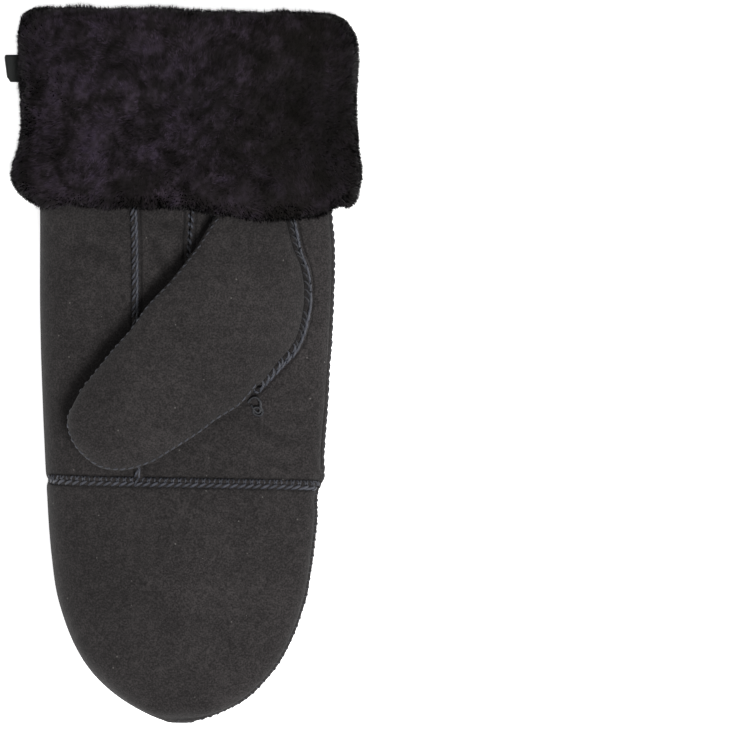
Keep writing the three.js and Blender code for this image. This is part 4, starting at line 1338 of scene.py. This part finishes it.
def step_at_cross(points):
    """Steps the outline beside the seam across the palm, which is eased in at the tip's side."""
    x, y = points[..., 0], points[..., 1]
    right, left = smoothstep(x, 42, 52), smoothstep(-x, 40, 51)
    past = y > CROSS_SEAM_ALONG - 1.5
    above = 0.8 * bell(y, CROSS_SEAM_ALONG + 3.5, 4.5) * past
    below = -0.9 * bell(y, CROSS_SEAM_ALONG - 6, 5) * ~past
    notch = 1.1 * bell(y, CROSS_SEAM_ALONG + 0.9, 1.5)
    moved = points.copy()
    moved[..., 0] += right * (above + below) + left * notch
    return moved


def lay_panels():
    """Each panel's outer and inner grid with its normals, and the sewn edges of all the panels."""
    grids, edges = {}, []
    for name, (skin, spacing, row_spacing, sewn, pace) in PANELS.items():
        sides = panel_grid(skin, spacing, row_spacing, sewn, pace)
        outer, inner = (step_at_cross(grid) for grid in sides)
        normals = grid_normals(outer, outer - inner)
        grids[name] = (outer, inner, normals)
        edges += edges_of(name, outer, normals, sewn)
    mate_edges(edges)
    return grids, edges


def seam_fields(name, outer, own):
    """What a panel's own sewn edges do at each point of its grid: the seams' relief, the distance to the
    nearest one, how far out of their reach it is, and what kind the nearest is and how it drifts."""
    size = outer.shape[:2]
    seams, nearest, calm = np.zeros(size), np.full(size, np.inf), np.ones(size)
    kinds, drift = np.zeros((3, *size)), np.zeros((*size, 3))
    for edge in own:
        distance, place, thumb, rim, shown, swell, edge_drift = edge_distance(
            outer, edge, ("seam", "thumb", "rim", "shown", "swell", "drift")
        )
        if name.startswith("back"):
            shown = np.where(rim > 0.5, 0, 1)
        seed = min(ORDER.index(name), int(edge["mate_rank"][0]))
        ridge = seam_relief(distance, place, thumb, rim, shown, swell, seed)
        closer = distance < nearest
        fade = bell(distance, 0, DRIFT_REACH)
        drift = np.where(closer[..., None], edge_drift * fade[..., None], drift)
        kinds = np.where(closer, [thumb, rim, shown], kinds)
        seams = np.where(np.abs(ridge) > np.abs(seams), ridge, seams)
        nearest = np.minimum(nearest, distance)
        calm = calm * smoothstep(distance, 0.5, 9)
    return seams, nearest, calm, kinds, drift


def build_panel(name, grid, own, materials):
    """One suede panel. Its sewn edges keep the strips of its surface that the threads lie on."""
    outer, inner, normals = grid
    palm = name in PALM_PANELS
    seams, nearest, calm, kinds, drift = seam_fields(name, outer, own)
    creases = crease_relief(outer[..., 0], outer[..., 1]) * palm
    relief = 0.42 * noise(outer, 24, 1) + 0.2 * noise(outer, 10, 2) + creases
    relief = relief * (0.25 + 0.75 * calm) + seams
    level = np.where(kinds[1] > 0.5, smoothstep(nearest, 0.5, 5), 1)
    moved = outer + normals * np.stack([relief, relief, relief * level], axis=-1) + drift
    moved[..., 2] = np.maximum(moved[..., 2], 0)
    if name == "thumb_under":
        moved[..., 2] = np.maximum(moved[..., 2], outer[..., 2] - 0.6)
    for edge in own:
        edge["strip"], edge["way"] = strips_of(moved, edge["side"]), strips_of(normals, edge["side"])
    tone = suede_tone(outer, seams, creases, nearest, *kinds)
    if palm:
        # Painted shadow of the thumb on the palm beside its upper edge.
        tone = tone * (1 - 0.36 * painted_thumb_shadow(outer)[..., None])
    # Painted shade on the thumb's face beside its seams with the palm, about 1.6 mm in.
    if name == "thumb_face":
        sunk = bell(nearest, 1.6, 1.3) * (1 - kinds[0])
        tone = tone * (1 - 0.45 * sunk[..., None])
    piece = wall_mesh(f"suede_{name}", moved, inner + drift)
    add_tone(piece, np.concatenate([tone.reshape(-1, 3), np.ones((inner.size // 3, 3))]))
    dress(piece, materials, (name,))


def build_threads(edges, thread):
    """All the stitches and the loose end beside the crotch, as one piece."""
    vertices, faces, shades = stitches(edges)
    knot = knot_path()[None]
    radii = np.full(knot.shape[:2], KNOT_RADIUS)
    knot_vertices, knot_faces = tubes(knot, radii, KNOT_SIDES, np.broadcast_to(UP, knot.shape))
    # The loose end is darker than the stitches, as painted shade beside the crotch.
    shades = np.concatenate([shades, np.full(len(knot_vertices), 0.3)])
    faces = np.concatenate([faces, knot_faces + len(vertices)])
    piece = new_mesh("seam_stitches", np.concatenate([vertices, knot_vertices]), faces)
    add_tone(piece, np.repeat(shades[:, None], 3, axis=1))
    dress(piece, (thread,))


def build_suede(suede, lining, thread):
    grids, edges = lay_panels()
    for name, grid in grids.items():
        own = [edge for edge in edges if edge["panel"] == name]
        build_panel(name, grid, own, (suede, lining))
    build_threads(edges, thread)


def build_wool(wool):
    """The cuff's body, a closed ring under the wool's tips, and the blades that stand on it."""
    tips, roots, lining_rows, way = cuff_grids(WOOL_COLUMNS, WOOL_ROWS)
    normals = ring_normals(tips)
    outside = slice(0, WOOL_ROWS // 5)
    outward = tips[outside] - tips[outside].mean(axis=1, keepdims=True)
    normals = normals if np.sum(normals[outside] * outward) > 0 else -normals
    swell = 1.0 * noise(tips, 8, 5) + 0.7 * noise(tips, 3.4, 6)
    deep = np.linalg.norm(tips - roots, axis=-1)
    standing = np.clip(tips[..., 2] / 4, 0, 1) * np.clip(deep / 2.5, 0.1, 1)
    fine = 0.22 * noise(tips, 1.6, 17)
    base = lerp(roots, tips, 0.54) + normals * ((swell + fine) * standing)[..., None]
    base[..., 2] = np.maximum(base[..., 2], CUFF_CLEAR)
    ring = np.concatenate([base, lining_rows])
    rows, columns = ring.shape[:2]
    faces = grid_faces(rows, columns, wrap=True)
    last = (rows - 1) * columns
    j = np.arange(columns)
    close = np.stack([last + j, last + (j + 1) % columns, (j + 1) % columns, j], axis=-1)
    vertices = ring.reshape(-1, 3)
    piece = new_mesh("wool_cuff", vertices, facing_out(vertices, np.concatenate([faces, close])))
    # The body under the blades is darker, as painted shade deep in the pile.
    add_tone(piece, 0.75 * wool_tone(vertices))
    dress(piece, (wool,), ("fur_cuff",))

    # Fewer blades where the wool lies on the floor, and inside the mouth.
    density = np.ones((tips.shape[0] - 1, columns))
    density[(tips[:-1, :, 2] < 1.5) & (way[:-1, None] < 0.6)] = 0.35
    density[way[:-1] > 0.72] *= 0.5
    row, column = scatter(tips, BLADES, density)
    wool_blades(wool, tips, roots, normals, swell, row, column)


def wool_tone(points):
    """The wool's shade and tint: patches where the locks turn to the light, and browner at the thumb."""
    patch = 0.58 * noise(points, 8, 7) + 0.62 * noise(points, 3.4, 8)
    patch += 0.6 * noise(points, 1.4, 18) + 0.55 * noise(points, 0.8, 19)
    broad = noise(points, 30, 9)
    x, y = points[..., 0], points[..., 1]
    dim = smoothstep(x - 0.2 * (y - HEM_ALONG - CUFF_DEPTH / 2), 12, 48)
    bright = 0.2 * smoothstep(-x, 0, 45) + 0.1 * smoothstep(y, TOTAL_LENGTH - 45, TOTAL_LENGTH - 5)
    shade = np.exp(1.3 * patch * (1 - 0.4 * dim) + 0.2 * broad + bright + 0.03)
    shade = np.clip(shade, 0.35, 2.6) * (1 - 0.42 * dim)
    cool = 0.1 * noise(points, 24, 10) + 0.36 * patch - 0.25 * dim
    return shade[..., None] * (1 + WOOL_TINT * cool[..., None])


def wool_blades(wool, tips, roots, normals, swell, row, column):
    """Blades of wool from the roots to the tips, leaning together in locks, as three pieces."""
    root, surface = sample_ring(roots, row, column), sample_ring(tips, row, column)
    normal = unit(sample_ring(normals, row, column))
    lift = sample_ring(swell[..., None], row, column)
    count = len(row)
    deep = np.linalg.norm(surface - root, axis=1, keepdims=True)
    field = np.stack([noise(surface, 12, channel) for channel in (11, 12, 13)], axis=-1)
    field = field + 0.8 * np.stack([noise(surface, 3.4, channel) for channel in (14, 15, 16)], axis=-1)
    field = field - normal * dot(field, normal)
    loose = rng.normal(0, 1, (count, 3))
    lean = 1.1 * field + 0.34 * (loose - normal * dot(loose, normal))
    lean = lean * np.clip(deep / 2.4, 0.35, 1.2)
    high = (lift + 0.5 * rng.normal(0, 1, (count, 1))) * np.clip(deep / 2.5, 0.1, 1)
    tip = surface + lean + normal * high
    middle = lerp(root, tip, 0.6) - lean * 0.15 + rng.normal(0, 0.08, (count, 3))
    for points in (root, middle, tip):
        points[:, 2] = np.maximum(points[:, 2], BLADE_CLEAR)
    flat = unit(normal + rng.normal(0, 0.9, (count, 3)))
    way = unit(tip - root)
    flat = np.where(dot(flat - way * dot(way, flat), normal) < 0, -flat, flat)
    width = rng.uniform(0.21, 0.385, (count, 1))
    vertices, faces = blades(root, middle, tip, flat, width)
    vertices[:, 2] = np.maximum(vertices[:, 2], FLOOR_CLEAR)
    facing = unit(normal + 0.25 * flat + 0.25 * lean)
    tone = wool_tone(surface) * rng.uniform(0.55, 1.5, (count, 1))
    tone = tone[:, None, :] * BLADE_SHADE_AND_HIGHLIGHT[None, :, None]
    share = (count + 2) // 3
    for i, name in enumerate(("wool_a", "wool_b", "wool_c")):
        first, last = i * share, min(count, (i + 1) * share)
        piece = new_mesh(name, vertices[5 * first : 5 * last], faces[3 * first : 3 * last] - 5 * first)
        add_tone(piece, tone[first:last].reshape(-1, 3))
        piece.data.normals_split_custom_set_from_vertices(np.repeat(facing[first:last], 5, axis=0))
        dress(piece, (wool,))


def label_side(radius, middle):
    """One side of the label's folded ribbon: rows from the wool round the fold and back."""
    across = np.linspace(0, 1, 13)
    start = LABEL_X + LABEL_REACH + LABEL_ROOT
    corners = 1.1 * (1 - smoothstep(across, 0, 0.2)), 0.5 * smoothstep(across, 0.9, 1)
    fold = lerp(*LABEL_ENDS, across) + corners[0] + corners[1] + 1.5 * LABEL_RIBBON
    layer = [lerp(start, fold, share) for share in (0, 0.25, 0.5, 0.75)]
    angles = np.linspace(-math.pi / 2, math.pi / 2, 9)
    x = np.stack(layer + [fold - radius * math.cos(angle) for angle in angles] + layer[::-1])
    z = radius * np.concatenate([[-1] * len(layer), np.sin(angles), [1] * len(layer)])
    bend = 0.5 * np.sin(2.6 * across) - 0.3
    y = lerp(*LABEL_SIDES, across)
    return np.stack(np.broadcast_arrays(x, y, middle + z[:, None] + bend), axis=-1)


def build_label(ribbon):
    """The folded ribbon, left bare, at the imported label's height."""
    low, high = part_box("side_label")
    middle = (low.z + high.z) / 2 * 1000
    outer, inner = (label_side(share * LABEL_RIBBON, middle) for share in (1.5, 0.5))
    piece = wall_mesh("ribbon_label", outer, inner)
    dress(piece, (ribbon, ribbon), ("side_label",))


def build_stage():
    bpy.ops.mesh.primitive_plane_add(size=6, location=(0, 0, -0.0003))
    floor = bpy.context.object
    floor.name = "floor"
    floor.data.materials.append(shader("floor")[0])

    world = bpy.data.worlds.new("studio")
    world.use_nodes = True
    background = world.node_tree.nodes["Background"]
    background.inputs["Color"].default_value = (1, 1, 1, 1)
    background.inputs["Strength"].default_value = 0.42
    bpy.context.scene.world = world
    for name, place, size, power in (
        ("key", (0.4, -0.52, 1.7), 0.5, 44),
        ("fill", (-0.2, 0.3, 1.8), 1.2, 5),
    ):
        light = bpy.data.lights.new(name, "AREA")
        light.size = size
        light.energy = power
        lamp = bpy.data.objects.new(name, light)
        lamp.location = place
        lamp.rotation_mode = "QUATERNION"
        lamp.rotation_quaternion = (-lamp.location).to_track_quat("-Z", "Y")
        bpy.context.scene.collection.objects.link(lamp)


def build_camera():
    """Straight above, with the frame's middle beside the mitten as in the photograph."""
    lens, centre, frame_height, framed_at = 420, (0.0743, -0.0027), 0.2928, 0.015
    data = bpy.data.cameras.new("camera")
    data.lens = lens
    data.sensor_width = 36
    height = frame_height * lens / data.sensor_width + framed_at
    camera = bpy.data.objects.new("camera", data)
    camera.location = (*centre, height)
    bpy.context.scene.collection.objects.link(camera)
    bpy.context.scene.camera = camera


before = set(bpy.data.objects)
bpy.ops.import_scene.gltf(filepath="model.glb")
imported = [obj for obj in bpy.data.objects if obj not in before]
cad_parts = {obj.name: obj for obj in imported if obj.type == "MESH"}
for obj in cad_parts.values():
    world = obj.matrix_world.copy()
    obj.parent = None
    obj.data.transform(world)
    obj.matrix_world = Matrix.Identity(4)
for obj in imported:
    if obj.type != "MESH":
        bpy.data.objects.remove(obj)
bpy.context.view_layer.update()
# Where the plain label ends, along x.
LABEL_X = float(cuff_point(np.array(-1.0), np.array(float(LABEL_ALONG)), 1, 0.85)[0]) - LABEL_REACH
# From the part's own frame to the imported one.
OFFSET = np.array(
    [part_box("side_label")[0].x * 1000 - LABEL_X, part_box("fur_cuff")[1].y * 1000 - TOTAL_LENGTH, 0.0]
)
bpy.context.scene.view_settings.view_transform = "Standard"
build_suede(suede_material(), lining_material(), thread_material())
build_wool(wool_material())
build_label(ribbon_material())
build_stage()
build_camera()
